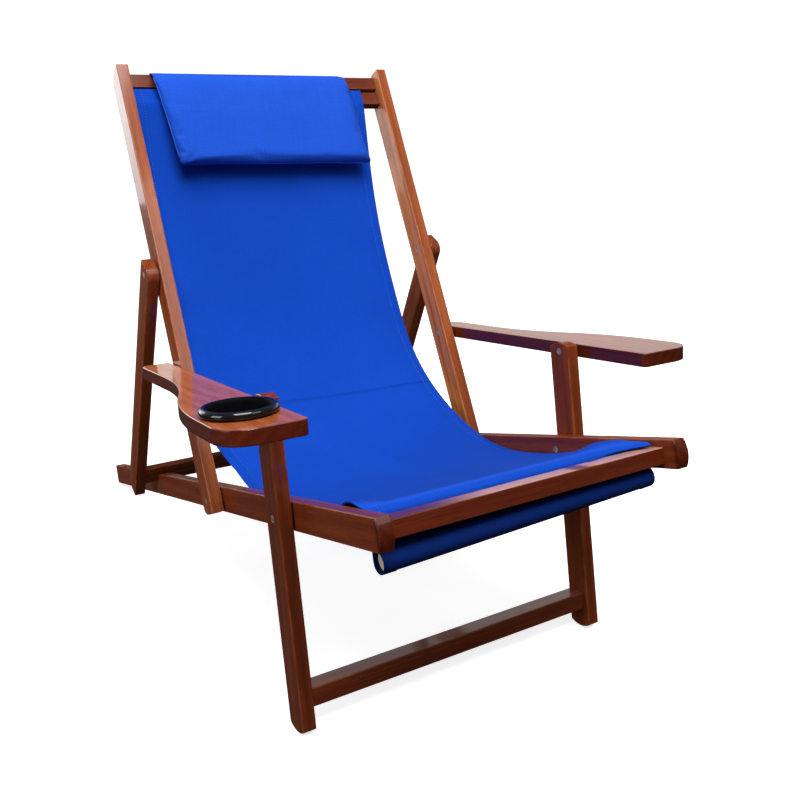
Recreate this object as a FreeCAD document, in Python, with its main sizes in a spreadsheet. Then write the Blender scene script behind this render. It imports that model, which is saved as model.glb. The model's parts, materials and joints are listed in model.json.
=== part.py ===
"""Folding sling chair with armrests, a cup holder and a head pillow, in millimetres.

The seat rails slope down to heels on the floor. The back uprights, front legs, armrests and rear struts
are bars pivoted to them and to each other, so the whole frame folds flat. Front is -Y, up is +Z.
"""
import FreeCAD, Part
import math
import os
from types import SimpleNamespace

import Sketcher

Vector = FreeCAD.Vector

DRIVING_SIZES = {
    # side members, all cut from one stock
    "side_thick": 19.0,
    "edge_round": 1.6,
    "layer_gap": 2.0,
    "rail_spacing": 414.0,
    # seat rails
    "rail_length": 1196.0,
    "rail_depth": 38.0,
    "rail_slope": 15.6,
    "rail_nose_radius": 36.0,
    "rail_heel_round": 4.0,
    "leg_pivot_from_nose": 234.0,
    "back_pivot_from_nose": 501.4,
    # back uprights
    "upright_depth": 40.0,
    "upright_reach": 705.5,
    "upright_tail": 20.0,
    "upright_lean": 63.4,
    "upright_top_round": 24.0,
    "upright_tail_round": 15.0,
    "arm_pivot_up_back": 202.5,
    "strut_pivot_up_back": 360.0,
    # front legs
    "leg_depth": 40.0,
    "leg_end_radius": 36.0,
    "leg_head": 13.0,
    "arm_pivot_up_leg": 144.0,
    # rear struts and their crossbar
    "strut_depth": 38.0,
    "strut_head": 16.0,
    "strut_head_round": 17.0,
    "strut_foot_round": 22.0,
    "strut_foot": 25.0,
    "strut_bar_drop": 429.0,
    "strut_bar_height": 36.0,
    "strut_bar_thick": 11.0,
    "notch_depth": 14.0,
    "notch_clearance": 0.5,
    "notch_count": 5,
    "recline_step": 8.0,
    # crossbars of the seat, the head and the legs
    "seat_bar_width": 31.0,
    "seat_bar_height": 22.0,
    "front_bar_setback": 19.0,
    "front_bar_drop": 2.0,
    "rear_bar_rise": 3.0,
    "sling_slot": 6.5,
    "head_bar_height": 23.5,
    "head_bar_thick": 19.0,
    "head_bar_setback": 16.5,
    "head_bar_from_top": 7.5,
    "stretcher_height": 25.0,
    "stretcher_depth": 30.0,
    "stretcher_setback": 7.0,
    "stretcher_drop": 236.0,
    "tenon_length": 12.0,
    "tenon_shoulder": 4.0,
    "strut_tenon_shoulder": 2.5,
    "tenon_pin_radius": 2.5,
    "tenon_pin_length": 22.0,
    "tenon_pin_spacing": 14.0,
    # armrests and cup holder
    "arm_thick": 19.0,
    "arm_tail": 40.0,
    "arm_nose": 151.0,
    "arm_tail_width": 44.0,
    "arm_nose_width": 98.0,
    "arm_sweep_start": 90.0,
    "arm_sweep_end": 385.0,
    "arm_tail_round": 14.0,
    "arm_nose_round": 40.0,
    "arm_nose_inner_round": 7.0,
    "cup_ahead_of_leg": 70.0,
    "cup_out": 49.0,
    "cup_inner_radius": 35.5,
    "cup_wall": 2.5,
    "cup_depth": 16.0,
    "cup_rim_radius": 46.0,
    "cup_rim_height": 11.0,
    "cup_clearance": 0.3,
    # pivot bolts
    "bolt_radius": 3.0,
    "bolt_clearance": 0.05,
    "bolt_head_radius": 5.0,
    "bolt_head_height": 3.0,
    "bolt_socket_radius": 2.3,
    "bolt_socket_depth": 1.6,
    "head_clearance": 0.3,
    "nut_socket_depth": 1.4,
    "nut_drive_depth": 1.1,
    "washer_radius": 8.0,
    "washer_play": 0.3,
    "insert_radius": 4.5,
    "insert_length": 20.0,
    "insert_bolt_reach": 15.0,
    # sling, its hem dowels and the head pillow
    "cloth_thick": 2.0,
    "cloth_clearance": 0.4,
    "sling_width": 404.0,
    "sling_shift": -3.0,
    "dowel_radius": 11.0,
    "dowel_inset": 6.0,
    "front_hem_width": 403.0,
    "front_hem_shift": -6.5,
    "front_hem_drop": 32.5,
    "front_hem_tilt": 1.7,
    "head_hem_width": 420.0,
    "head_hem_shift": -17.0,
    "sling_back_height": 437.0,
    "sling_back_sag": 64.0,
    "sling_lumbar_rear": 57.0,
    "sling_lumbar_rise": 11.0,
    "sling_seat_front": 295.0,
    "sling_seat_sag": 11.0,
    "sling_seat_bend_front": 0.85,
    "sling_seat_bend_rear": 0.27,
    "sling_lumbar_bend_front": 0.70,
    "sling_lumbar_bend_rear": 0.60,
    "sling_back_bend_low": 0.37,
    "sling_back_bend_high": 0.85,
    "sling_ridge_radius": 60.0,
    "sling_head_radius": 12.0,
    "sling_edge_radius": 2.6,
    "pillow_width": 365.0,
    "pillow_height": 156.0,
    "pillow_thick": 26.0,
    "pillow_edge_thick": 9.0,
    "pillow_draw_in": 7.0,
    "pillow_shift": -7.5,
    "pillow_skew": 23.0,
    "pillow_tilt": 8.0,
    "pillow_drop": 8.5,
    "flap_drop": 85.0,
    "flap_width": 344.0,
    "flap_bend_radius": 3.0,
}

doc = FreeCAD.newDocument("sling_chair")
sheet = doc.addObject("Spreadsheet::Sheet", "sizes")
for row, (alias, value) in enumerate(DRIVING_SIZES.items(), 1):
    sheet.set(f"A{row}", alias)
    sheet.set(f"B{row}", str(value))
    sheet.setAlias(f"B{row}", alias)
doc.recompute()


class Size:
    """A size as a number, with the sheet expression that gives it."""

    def __init__(self, value, text):
        self.value = float(value)
        self.text = text

    def __float__(self):
        return self.value

    def __add__(self, other):
        other = as_size(other)
        return Size(self.value + other.value, f"({self.text} + {other.text})")

    def __sub__(self, other):
        other = as_size(other)
        return Size(self.value - other.value, f"({self.text} - {other.text})")

    def __rsub__(self, other):
        return as_size(other) - self

    def __mul__(self, other):
        other = as_size(other)
        return Size(self.value * other.value, f"({self.text} * {other.text})")

    def __truediv__(self, other):
        other = as_size(other)
        return Size(self.value / other.value, f"({self.text} / {other.text})")

    __radd__ = __add__
    __rmul__ = __mul__


def as_size(number):
    """A plain number as a Size of fixed text."""
    if isinstance(number, Size):
        return number
    return Size(number, repr(float(number)))


d = SimpleNamespace(**{alias: Size(sheet.get(alias), f"sizes.{alias}") for alias in DRIVING_SIZES})


# Frames: every bar lies in a plane of constant X, so its local x and y are directions in Y and Z.

def turned(point, degrees):
    """A (y, z) pair turned about X."""
    c = math.cos(math.radians(degrees))
    s = math.sin(math.radians(degrees))
    return (point[0] * c - point[1] * s, point[0] * s + point[1] * c)


def added(a, b):
    return (a[0] + b[0], a[1] + b[1])


def placement(origin, x_axis, y_axis):
    """The placement whose local x and y run along two square directions."""
    x = Vector(*x_axis)
    y = Vector(*y_axis)
    z = x.cross(y)
    matrix = FreeCAD.Matrix(x.x, y.x, z.x, origin[0],
                            x.y, y.y, z.y, origin[1],
                            x.z, y.z, z.z, origin[2],
                            0, 0, 0, 1)
    return FreeCAD.Placement(matrix)


def bar_placement(x, point, degrees):
    """Local x along a direction in Y and Z, local z along +X, from a (y, z) point."""
    ahead = turned((1, 0), degrees)
    aside = turned((0, 1), degrees)
    return placement((x, point[0], point[1]), (0, *ahead), (0, *aside))


# Layout in the side view, from the seat rails outwards.

slope = -float(d.rail_slope)
lean = float(d.upright_lean)
rail_half = float(d.rail_depth) / 2
heel = float(d.rail_heel_round)
rise = math.radians(float(d.rail_slope))
heel_lift = heel * (math.sin(rise) + math.cos(rise) - 1)
heel_corner = (0.0, -heel_lift)
nose_corner = added(heel_corner, turned((-float(d.rail_length), 0), slope))


def on_rail(from_nose, above_axis):
    """A point by its distance behind the rail's nose and above the rail's axis."""
    return added(nose_corner, turned((from_nose, rail_half + above_axis), slope))


leg_pivot = on_rail(float(d.leg_pivot_from_nose), 0)
back_pivot = on_rail(float(d.back_pivot_from_nose), 0)


def on_back(up, behind):
    """A point by its distance up the upright from the back pivot and behind its axis."""
    return added(back_pivot, turned((up, -behind), lean))


arm_rear_pivot = on_back(float(d.arm_pivot_up_back), 0)
strut_pivot = on_back(float(d.strut_pivot_up_back), 0)
pivot_span = d.back_pivot_from_nose - d.leg_pivot_from_nose
arm_span = d.arm_pivot_up_back + pivot_span - d.arm_pivot_up_leg


def meet(center_a, radius_a, center_b, radius_b):
    """Where two circles cross, on the left of the line from the first to the second."""
    across = (center_b[0] - center_a[0], center_b[1] - center_a[1])
    gap = math.hypot(*across)
    along = (radius_a ** 2 - radius_b ** 2 + gap ** 2) / (2 * gap)
    aside = math.sqrt(radius_a ** 2 - along ** 2)
    unit = (across[0] / gap, across[1] / gap)
    return (center_a[0] + along * unit[0] - aside * unit[1], center_a[1] + along * unit[1] + aside * unit[0])


arm_front_pivot = meet(leg_pivot, float(d.arm_pivot_up_leg), arm_rear_pivot, float(arm_span))
leg_lean = math.degrees(math.atan2(arm_front_pivot[1] - leg_pivot[1], arm_front_pivot[0] - leg_pivot[0]))
arm_direction = math.degrees(math.atan2(arm_front_pivot[1] - arm_rear_pivot[1],
                                        arm_front_pivot[0] - arm_rear_pivot[0]))
leg_end_flat = math.sqrt(float(d.leg_end_radius) ** 2 - (float(d.leg_depth) / 2) ** 2)
leg_end_sag = float(d.leg_end_radius) - leg_end_flat
leg_foot_drop = (leg_pivot[1] - float(d.leg_end_radius)) / math.sin(math.radians(leg_lean))
leg_drop = leg_foot_drop + float(d.leg_end_radius) - leg_end_sag


bar_offset = (float(d.strut_depth) - float(d.strut_bar_thick)) / 2
bar_reach = math.hypot(float(d.strut_bar_drop), bar_offset)
bar_swing = math.degrees(math.atan2(bar_offset, float(d.strut_bar_drop)))


def strut_bar_from_pivot(recline):
    """How far behind the back pivot the strut's crossbar rests on the rail at a recline angle."""
    opening = math.radians(lean - slope - recline)
    height = float(d.strut_pivot_up_back) * math.sin(opening) - bar_rest_height
    run = math.sqrt(bar_reach ** 2 - height ** 2)
    return float(d.strut_pivot_up_back) * math.cos(opening) + run


# The strut's angle and the height of its crossbar's middle over the rail's axis settle together.
strut_angle = 0.0
bar_rest_height = rail_half
for settle in range(12):
    opening = math.radians(lean - slope)
    height = float(d.strut_pivot_up_back) * math.sin(opening) - bar_rest_height
    strut_angle = math.degrees(math.asin(height / bar_reach)) - bar_swing
    tilt = math.radians(strut_angle)
    corner_drop = (float(d.strut_bar_height) * math.sin(tilt) + float(d.strut_bar_thick) * math.cos(tilt)) / 2
    bar_rest_height = rail_half - float(d.notch_depth) + corner_drop
strut_lean = 180 - strut_angle + slope

# The middle of the floor plan comes to the origin.
nose_reach = nose_corner[0]
heel_reach = turned((0, float(d.rail_depth)), slope)[0]
shift = (-(nose_reach + heel_reach) / 2, 0.0)


def world(point):
    return added(point, shift)


# Layers from the middle outwards.

rail_inner = d.rail_spacing / 2
upright_inner = rail_inner + d.side_thick + d.layer_gap
outer_inner = upright_inner + d.side_thick + d.layer_gap


# Drawing helpers

made = {}


def new_body(label):
    return doc.addObject("PartDesign::Body", label)


def new_sketch(body, name, height=None):
    """A sketch on the body's XY plane, or at a height above it."""
    sketch = body.newObject("Sketcher::SketchObject", name)
    flat = next(feature for feature in body.Origin.OriginFeatures if feature.Role == "XY_Plane")
    sketch.AttachmentSupport = [(flat, "")]
    sketch.MapMode = "FlatFace"
    if height is not None:
        sketch.AttachmentOffset = FreeCAD.Placement(Vector(0, 0, float(height)), FreeCAD.Rotation())
        sketch.setExpression("AttachmentOffset.Base.z", height.text)
    return sketch


def hold(sketch, kind, refs, size):
    """A dimension bound to the sheet."""
    size = as_size(size)
    index = sketch.addConstraint(Sketcher.Constraint(kind, *refs, size.value))
    if "sizes." in size.text:
        sketch.setExpression(f"Constraints[{index}]", size.text)


def hold_point(sketch, geometry, position, point):
    hold(sketch, "DistanceX", (-1, 1, geometry, position), point[0])
    hold(sketch, "DistanceY", (-1, 1, geometry, position), point[1])


def arc_between(start, end, radius, center_on_left):
    """The short arc from start to end, as a counterclockwise arc and whether its ends were swapped."""
    chord = end - start
    half = chord.Length / 2
    left = Vector(-chord.y, chord.x, 0).normalize()
    offset = math.sqrt(max(radius ** 2 - half ** 2, 0))
    center = (start + end) * 0.5 + left * (offset if center_on_left else -offset)
    first, last = (start, end) if center_on_left else (end, start)
    angle_first = math.atan2(first.y - center.y, first.x - center.x)
    angle_last = math.atan2(last.y - center.y, last.x - center.x)
    if angle_last < angle_first:
        angle_last += 2 * math.pi
    circle = Part.Circle(center, Vector(0, 0, 1), radius)
    return Part.ArcOfCircle(circle, angle_first, angle_last), not center_on_left


def draw_outline(sketch, corners, arcs=None):
    """A closed outline, drawn counterclockwise. arcs gives a side's radius and whether it bulges outwards."""
    arcs = arcs or {}
    spots = [Vector(float(x), float(y), 0) for x, y in corners]
    ends = []
    for side, start in enumerate(spots):
        end = spots[(side + 1) % len(spots)]
        if side in arcs:
            radius, bulges_out = arcs[side]
            arc, swapped = arc_between(start, end, float(radius), bulges_out)
            geometry = sketch.addGeometry(arc)
            ends.append((geometry, 2, 1) if swapped else (geometry, 1, 2))
        else:
            geometry = sketch.addGeometry(Part.LineSegment(start, end))
            ends.append((geometry, 1, 2))
    for side, (geometry, first, last) in enumerate(ends):
        following = ends[(side + 1) % len(ends)]
        sketch.addConstraint(Sketcher.Constraint("Coincident", geometry, last, following[0], following[1]))
    for side, (geometry, first, last) in enumerate(ends):
        hold_point(sketch, geometry, first, corners[side])
        if side in arcs:
            hold(sketch, "Radius", (geometry,), arcs[side][0])


def draw_circle(sketch, center, radius):
    circle = Part.Circle(Vector(float(center[0]), float(center[1]), 0), Vector(0, 0, 1), float(radius))
    geometry = sketch.addGeometry(circle)
    hold_point(sketch, geometry, 3, center)
    hold(sketch, "Radius", (geometry,), radius)


def rectangle(left, bottom, right, top):
    return [(left, bottom), (right, bottom), (right, top), (left, top)]


def pad(body, sketch, length):
    feature = body.newObject("PartDesign::Pad", sketch.Name + "_pad")
    feature.Profile = sketch
    feature.Length = float(length)
    feature.setExpression("Length", length.text)
    doc.recompute()
    return feature


def pocket(body, sketch, depth=None, upwards=True):
    """Cuts from the sketch, upwards into a body that stands on it or down into one below it."""
    before = body.Shape.Volume
    feature = body.newObject("PartDesign::Pocket", sketch.Name + "_cut")
    feature.Profile = sketch
    feature.Reversed = upwards
    if depth is None:
        feature.Type = "ThroughAll"
    else:
        feature.Length = float(depth)
        feature.setExpression("Length", depth.text)
    doc.recompute()
    if body.Shape.Volume >= before:
        raise RuntimeError(f"{body.Label}: {feature.Name} cuts nothing")
    return feature


def round_edges(body, edges, radius, name):
    feature = body.newObject("PartDesign::Fillet", f"{body.Name}_{name}")
    feature.Base = (body.Tip if body.Tip != feature else feature.BaseFeature, edges)
    feature.Radius = float(radius)
    feature.setExpression("Radius", radius.text)
    doc.recompute()
    return feature


def upright_edges(shape, corner):
    """The names of the edges that stand on a corner of the outline."""
    names = []
    for index, edge in enumerate(shape.Edges, 1):
        spots = [vertex.Point for vertex in edge.Vertexes]
        near = [math.hypot(spot.x - float(corner[0]), spot.y - float(corner[1])) < 0.01 for spot in spots]
        if len(spots) == 2 and all(near) and abs(spots[0].z - spots[1].z) > 0.01:
            names.append(f"Edge{index}")
    return names


def rim_edges(shape):
    """The names of the edges around the lowest and highest flat faces."""
    low, high = shape.BoundBox.ZMin, shape.BoundBox.ZMax
    names = []
    for index, edge in enumerate(shape.Edges, 1):
        box = edge.BoundBox
        flat = box.ZMax - box.ZMin < 0.01
        if flat and (abs(box.ZMin - low) < 0.01 or abs(box.ZMin - high) < 0.01):
            names.append(f"Edge{index}")
    return names


def side_bar(label, length, depth, rounds=(), arcs=None):
    """A flat bar of side stock: x along it, y across it, z from its inner to its outer face."""
    body = new_body(label)
    sketch = new_sketch(body, label + "_outline")
    draw_outline(sketch, rectangle(0, 0, length, depth), arcs)
    pad(body, sketch, d.side_thick)
    for number, (corner, radius) in enumerate(rounds):
        round_edges(body, upright_edges(body.Shape, corner), radius, f"corner_{number}")
    round_edges(body, rim_edges(body.Shape), d.edge_round, "soft_edges")
    return body


def drill(body, holes, radius, name, depth=None, from_outer=False):
    """Round holes through a bar, or blind ones from its inner or outer face."""
    sketch = new_sketch(body, f"{body.Name}_{name}", d.side_thick if from_outer else None)
    for center in holes:
        draw_circle(sketch, center, radius)
    pocket(body, sketch, depth, upwards=not from_outer)


def mortise(body, box, name):
    """A blind square hole in a bar's inner face for a crossbar's tenon."""
    sketch = new_sketch(body, f"{body.Name}_{name}")
    draw_outline(sketch, box)
    pocket(body, sketch, d.tenon_length)


def keep(label, feature):
    """Names a finished piece."""
    feature.Label = label
    made[label] = feature
    return feature


def mirrored(label, source):
    """The left-hand twin of a right-hand piece."""
    twin = doc.addObject("Part::Mirroring", label)
    twin.Source = source
    twin.Normal = Vector(1, 0, 0)
    twin.Base = Vector(0, 0, 0)
    doc.recompute()
    return twin


def pair(name, right):
    keep(f"{name}_right", right)
    keep(f"{name}_left", mirrored(f"{name}_left", right))


def group(label, pieces):
    """Separate like pieces under one name."""
    compound = doc.addObject("Part::Compound", label)
    compound.Links = pieces
    doc.recompute()
    return keep(label, compound)


bore = d.bolt_radius + d.bolt_clearance
head_bore = d.bolt_head_radius + d.head_clearance
head_sink = d.bolt_head_height + d.head_clearance


# Seat rails, with bowed noses and notches for the strut's crossbar along their top edges

rail_mid = d.rail_depth / 2
front_bar_near = d.front_bar_setback
front_bar_far = front_bar_near + d.seat_bar_width
rear_bar_near = front_bar_far + d.sling_slot
rear_bar_far = rear_bar_near + d.seat_bar_width
front_bar_low = rail_mid - d.front_bar_drop - d.seat_bar_height / 2
rear_bar_low = rail_mid + d.rear_bar_rise - d.seat_bar_height / 2


def seat_tenon(near, low):
    return rectangle(near + d.tenon_shoulder, low + d.tenon_shoulder,
                     near + d.seat_bar_width - d.tenon_shoulder, low + d.seat_bar_height - d.tenon_shoulder)


def notch_outline(recline):
    """A right-angled notch: one wall takes the crossbar's thrust, the other faces its front."""
    deepest = Vector(float(d.back_pivot_from_nose) + strut_bar_from_pivot(recline), 0, 0)
    tilt = math.radians(strut_angle)
    down = Vector(math.cos(tilt), -math.sin(tilt), 0)
    front = Vector(-math.sin(tilt), -math.cos(tilt), 0)
    reach_down = float(d.strut_bar_height) / 2 + float(d.notch_clearance)
    reach_front = float(d.strut_bar_thick) / 2 + float(d.notch_clearance)
    deepest += Vector(0, rail_half + bar_rest_height, 0) + down * reach_down + front * reach_front
    climb = float(d.rail_depth) - deepest.y + float(d.notch_depth)
    ahead = deepest - down * (climb / math.sin(tilt))
    behind = deepest - front * (climb / math.cos(tilt))
    return [(spot.x, spot.y) for spot in (deepest, behind, ahead)]


rail = side_bar("seat_rail_right", d.rail_length, d.rail_depth,
                rounds=[((d.rail_length, 0), d.rail_heel_round)], arcs={3: (d.rail_nose_radius, True)})
notches = new_sketch(rail, "rail_notches")
for number in range(int(float(d.notch_count))):
    draw_outline(notches, notch_outline(number * float(d.recline_step)))
pocket(rail, notches)
rail_holes = [(d.leg_pivot_from_nose, rail_mid), (d.back_pivot_from_nose, rail_mid)]
drill(rail, rail_holes, bore, "bores")
drill(rail, rail_holes, head_bore, "head_seats", head_sink)
mortise(rail, seat_tenon(front_bar_near, front_bar_low), "front_mortise")
mortise(rail, seat_tenon(rear_bar_near, rear_bar_low), "rear_mortise")
rail.Placement = bar_placement(float(rail_inner), world(nose_corner), slope)
pair("seat_rail", rail)


# Back uprights

upright_length = d.upright_tail + d.upright_reach
upright_mid = d.upright_depth / 2
head_bar_rear = d.upright_depth - d.head_bar_setback - d.head_bar_thick
upper_bar_low = upright_length - d.head_bar_from_top - d.head_bar_height
lower_bar_low = upper_bar_low - d.sling_slot - d.head_bar_height


def head_tenon(low):
    return rectangle(low + d.tenon_shoulder, head_bar_rear + d.tenon_shoulder,
                     low + d.head_bar_height - d.tenon_shoulder,
                     head_bar_rear + d.head_bar_thick - d.tenon_shoulder)


upright = side_bar("back_upright_right", upright_length, d.upright_depth,
                   rounds=[((upright_length, 0), d.upright_top_round), ((0, 0), d.upright_tail_round)])
upright_holes = [(d.upright_tail, upright_mid), (d.upright_tail + d.arm_pivot_up_back, upright_mid),
                 (d.upright_tail + d.strut_pivot_up_back, upright_mid)]
drill(upright, upright_holes, bore, "bores")
drill(upright, upright_holes[1:], head_bore, "head_seats", head_sink)
drill(upright, upright_holes[:1], head_bore, "nut_seats", head_sink, from_outer=True)
mortise(upright, head_tenon(upper_bar_low), "upper_mortise")
mortise(upright, head_tenon(lower_bar_low), "lower_mortise")
upright_corner = on_back(-float(d.upright_tail), float(upright_mid))
upright.Placement = bar_placement(float(upright_inner), world(upright_corner), lean)
pair("back_upright", upright)


# Front legs, with bowed ends

leg_length = as_size(leg_drop) + d.arm_pivot_up_leg + d.leg_head - leg_end_sag
leg_mid = d.leg_depth / 2
stretcher_low = as_size(leg_drop) - d.stretcher_drop - d.stretcher_height / 2
stretcher_rear = d.leg_depth - d.stretcher_setback - d.stretcher_depth
stretcher_tenon = rectangle(stretcher_low + d.tenon_shoulder, stretcher_rear + d.tenon_shoulder,
                            stretcher_low + d.stretcher_height - d.tenon_shoulder,
                            stretcher_rear + d.stretcher_depth - d.tenon_shoulder)

leg = side_bar("front_leg_right", leg_length, d.leg_depth,
               arcs={1: (d.leg_end_radius, True), 3: (d.leg_end_radius, True)})
leg_hole = (as_size(leg_drop), leg_mid)
leg_arm_hole = (as_size(leg_drop) + d.arm_pivot_up_leg, leg_mid)
drill(leg, [leg_hole, leg_arm_hole], bore, "bores")
drill(leg, [leg_hole], head_bore, "nut_seat", head_sink, from_outer=True)
drill(leg, [leg_arm_hole], head_bore, "head_seat", head_sink)
mortise(leg, stretcher_tenon, "stretcher_mortise")
leg_corner = added(leg_pivot, turned((-leg_drop, -float(leg_mid)), leg_lean))
leg.Placement = bar_placement(float(upright_inner), world(leg_corner), leg_lean)
pair("front_leg", leg)


# Rear struts

strut_mid = d.strut_depth / 2
strut_reach = d.strut_bar_drop + d.strut_bar_height / 2 + d.strut_foot
strut_length = strut_reach + d.strut_head
strut_bar_low = d.strut_foot
strut_bar_rear = d.strut_depth - d.strut_bar_thick
strut_tenon = rectangle(strut_bar_low + d.tenon_shoulder, strut_bar_rear + d.strut_tenon_shoulder,
                        strut_bar_low + d.strut_bar_height - d.tenon_shoulder,
                        strut_bar_rear + d.strut_bar_thick - d.strut_tenon_shoulder)

strut = side_bar("rear_strut_right", strut_length, d.strut_depth,
                 rounds=[((strut_length, d.strut_depth), d.strut_head_round), ((0, 0), d.strut_foot_round)])
strut_hole = (strut_reach, strut_mid)
drill(strut, [strut_hole], bore, "bore")
drill(strut, [strut_hole], head_bore, "nut_seat", head_sink, from_outer=True)
mortise(strut, strut_tenon, "bar_mortise")
strut_corner = added(strut_pivot, turned((-float(strut_reach), -float(strut_mid)), strut_lean))
strut_place = bar_placement(float(outer_inner), world(strut_corner), strut_lean)
strut.Placement = strut_place


# Crossbars, each with a tenon at both ends

def crossbar(label, width, height, clear_half, tenon_box, origin, degrees):
    """A bar along X between two side members: x and y as on those members, z along the bar."""
    body = new_body(label)
    outline = new_sketch(body, label + "_section", 0 - clear_half)
    left, bottom = origin
    draw_outline(outline, rectangle(left, bottom, left + width, bottom + height))
    pad(body, outline, clear_half * 2)
    long_edges = [f"Edge{index}" for index, edge in enumerate(body.Shape.Edges, 1)
                  if edge.BoundBox.ZLength > float(clear_half)]
    round_edges(body, long_edges, d.edge_round, "soft_edges")
    tenons = new_sketch(body, label + "_tenons", 0 - clear_half - d.tenon_length)
    draw_outline(tenons, tenon_box)
    pad(body, tenons, (clear_half + d.tenon_length) * 2)
    return body


front_bar = crossbar("front_crossbar", d.seat_bar_width, d.seat_bar_height, rail_inner,
                     seat_tenon(front_bar_near, front_bar_low), (front_bar_near, front_bar_low), slope)
rear_bar = crossbar("seat_crossbar", d.seat_bar_width, d.seat_bar_height, rail_inner,
                    seat_tenon(rear_bar_near, rear_bar_low), (rear_bar_near, rear_bar_low), slope)
for bar in (front_bar, rear_bar):
    bar.Placement = bar_placement(0, world(nose_corner), slope)
    keep(bar.Name, bar)

for label, low in (("head_crossbar_upper", upper_bar_low), ("head_crossbar_lower", lower_bar_low)):
    bar = crossbar(label, d.head_bar_height, d.head_bar_thick, upright_inner, head_tenon(low),
                   (low, head_bar_rear), lean)
    bar.Placement = bar_placement(0, world(upright_corner), lean)
    keep(label, bar)

stretcher = crossbar("front_stretcher", d.stretcher_height, d.stretcher_depth, upright_inner, stretcher_tenon,
                     (stretcher_low, stretcher_rear), leg_lean)
stretcher.Placement = bar_placement(0, world(leg_corner), leg_lean)
keep("front_stretcher", stretcher)

strut_bar = crossbar("strut_crossbar", d.strut_bar_height, d.strut_bar_thick, outer_inner, strut_tenon,
                     (strut_bar_low, strut_bar_rear), strut_lean)
strut_bar.Placement = bar_placement(0, world(strut_corner), strut_lean)


# Pins through the struts' front faces lock the crossbar's tenons

def cylinder(name, radius, length, place):
    feature = doc.addObject("Part::Cylinder", name)
    feature.Radius = float(radius)
    feature.Height = float(length)
    feature.setExpression("Radius", as_size(radius).text)
    feature.setExpression("Height", as_size(length).text)
    feature.Placement = place
    return feature


def cut(name, base, tool):
    feature = doc.addObject("Part::Cut", name)
    feature.Base = base
    feature.Tool = tool
    doc.recompute()
    return feature


pin_x = float(outer_inner) + float(d.tenon_length) / 2
pin_tools = []
for step in (-0.5, 0.5):
    along = float(d.strut_foot) + float(d.strut_bar_height) / 2 + step * float(d.tenon_pin_spacing)
    start = added(strut_corner, turned((along, float(d.strut_depth)), strut_lean))
    inward = turned((0, -1), strut_lean)
    place = placement((pin_x, *world(start)), (1, 0, 0), (0, inward[1], -inward[0]))
    pin_tools.append(cylinder(f"tenon_pin_{len(pin_tools)}", d.tenon_pin_radius, d.tenon_pin_length, place))
pins_right = doc.addObject("Part::Compound", "tenon_pins_right")
pins_right.Links = pin_tools
doc.recompute()
pins_left = mirrored("tenon_pins_left", pins_right)
pair("rear_strut", cut("rear_strut_pinned", strut, pins_right))
bar_pinned_right = cut("strut_bar_pinned_right", strut_bar, pins_right)
keep("strut_crossbar", cut("strut_bar_pinned", bar_pinned_right, pins_left))
group("tenon_pins", [pins_right, pins_left])


# Armrests: straight inner edge, outer edge sweeping out to a wide rounded nose

arm_place = placement((float(outer_inner), *world(arm_rear_pivot)),
                      (0, *turned((1, 0), arm_direction)), (1, 0, 0))
arm_nose_end = arm_span + d.arm_nose
sweep_rise = d.arm_nose_width - d.arm_tail_width
sweep_run = d.arm_sweep_end - d.arm_sweep_start
sweep_middle = (d.arm_sweep_start + sweep_run / 2, d.arm_tail_width + sweep_rise / 2)
sweep_radius = (sweep_run * sweep_run + sweep_rise * sweep_rise) / (4 * sweep_rise)
arm_corners = [(0 - d.arm_tail, 0), (arm_nose_end, 0), (arm_nose_end, d.arm_nose_width),
               (d.arm_sweep_end, d.arm_nose_width), sweep_middle, (d.arm_sweep_start, d.arm_tail_width),
               (0 - d.arm_tail, d.arm_tail_width)]

arm = new_body("armrest_board")
arm_sketch = new_sketch(arm, "armrest_outline", 0 - d.arm_thick / 2)
draw_outline(arm_sketch, arm_corners, {3: (sweep_radius, True), 4: (sweep_radius, False)})
pad(arm, arm_sketch, d.arm_thick)
for number, (corner, radius) in enumerate([(arm_corners[1], d.arm_nose_inner_round),
                                           (arm_corners[2], d.arm_nose_round),
                                           (arm_corners[6], d.arm_tail_round)]):
    round_edges(arm, upright_edges(arm.Shape, corner), radius, f"corner_{number}")
round_edges(arm, rim_edges(arm.Shape), d.edge_round, "soft_edges")
arm.Placement = arm_place


def along_x(x, point):
    """A placement whose z runs along +X from a (y, z) point."""
    spot = world(point)
    return placement((x, spot[0], spot[1]), (0, 1, 0), (0, 0, 1))


def insert_blank(name, point):
    return cylinder(name, d.insert_radius, d.insert_length, along_x(float(outer_inner), point))


insert_points = {"rear": arm_rear_pivot, "front": arm_front_pivot}
insert_holes = doc.addObject("Part::Compound", "insert_holes")
insert_holes.Links = [insert_blank(f"insert_hole_{end}", point) for end, point in insert_points.items()]
doc.recompute()
armrest_right = keep("armrest_right", cut("armrest_right", arm, insert_holes))

inserts = []
for end, point in insert_points.items():
    thread = cylinder(f"insert_thread_{end}", bore, d.insert_bolt_reach + d.head_clearance,
                      along_x(float(outer_inner), point))
    inserts.append(cut(f"insert_{end}", insert_blank(f"insert_blank_{end}", point), thread))
inserts_right = group("armrest_inserts_right", inserts)
keep("armrest_inserts_left", mirrored("armrest_inserts_left", inserts_right))


# The cup holder drops into a bore of the left armrest

cup_spot = (arm_span + d.cup_ahead_of_leg, d.cup_out)
cup_outer = d.cup_inner_radius + d.cup_wall
cup_local = FreeCAD.Placement(Vector(float(cup_spot[0]), float(cup_spot[1]), float(d.arm_thick) / 2),
                              FreeCAD.Rotation())
cup_right = arm_place.multiply(cup_local)
cup_axis = cup_right.Rotation.multVec(Vector(0, 0, 1))
cup_center = Vector(-cup_right.Base.x, cup_right.Base.y, cup_right.Base.z)
cup_x = Vector(1, 0, 0)
cup_y = cup_axis.cross(cup_x)
cup_place = placement(cup_center, cup_x, cup_y)

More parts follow.
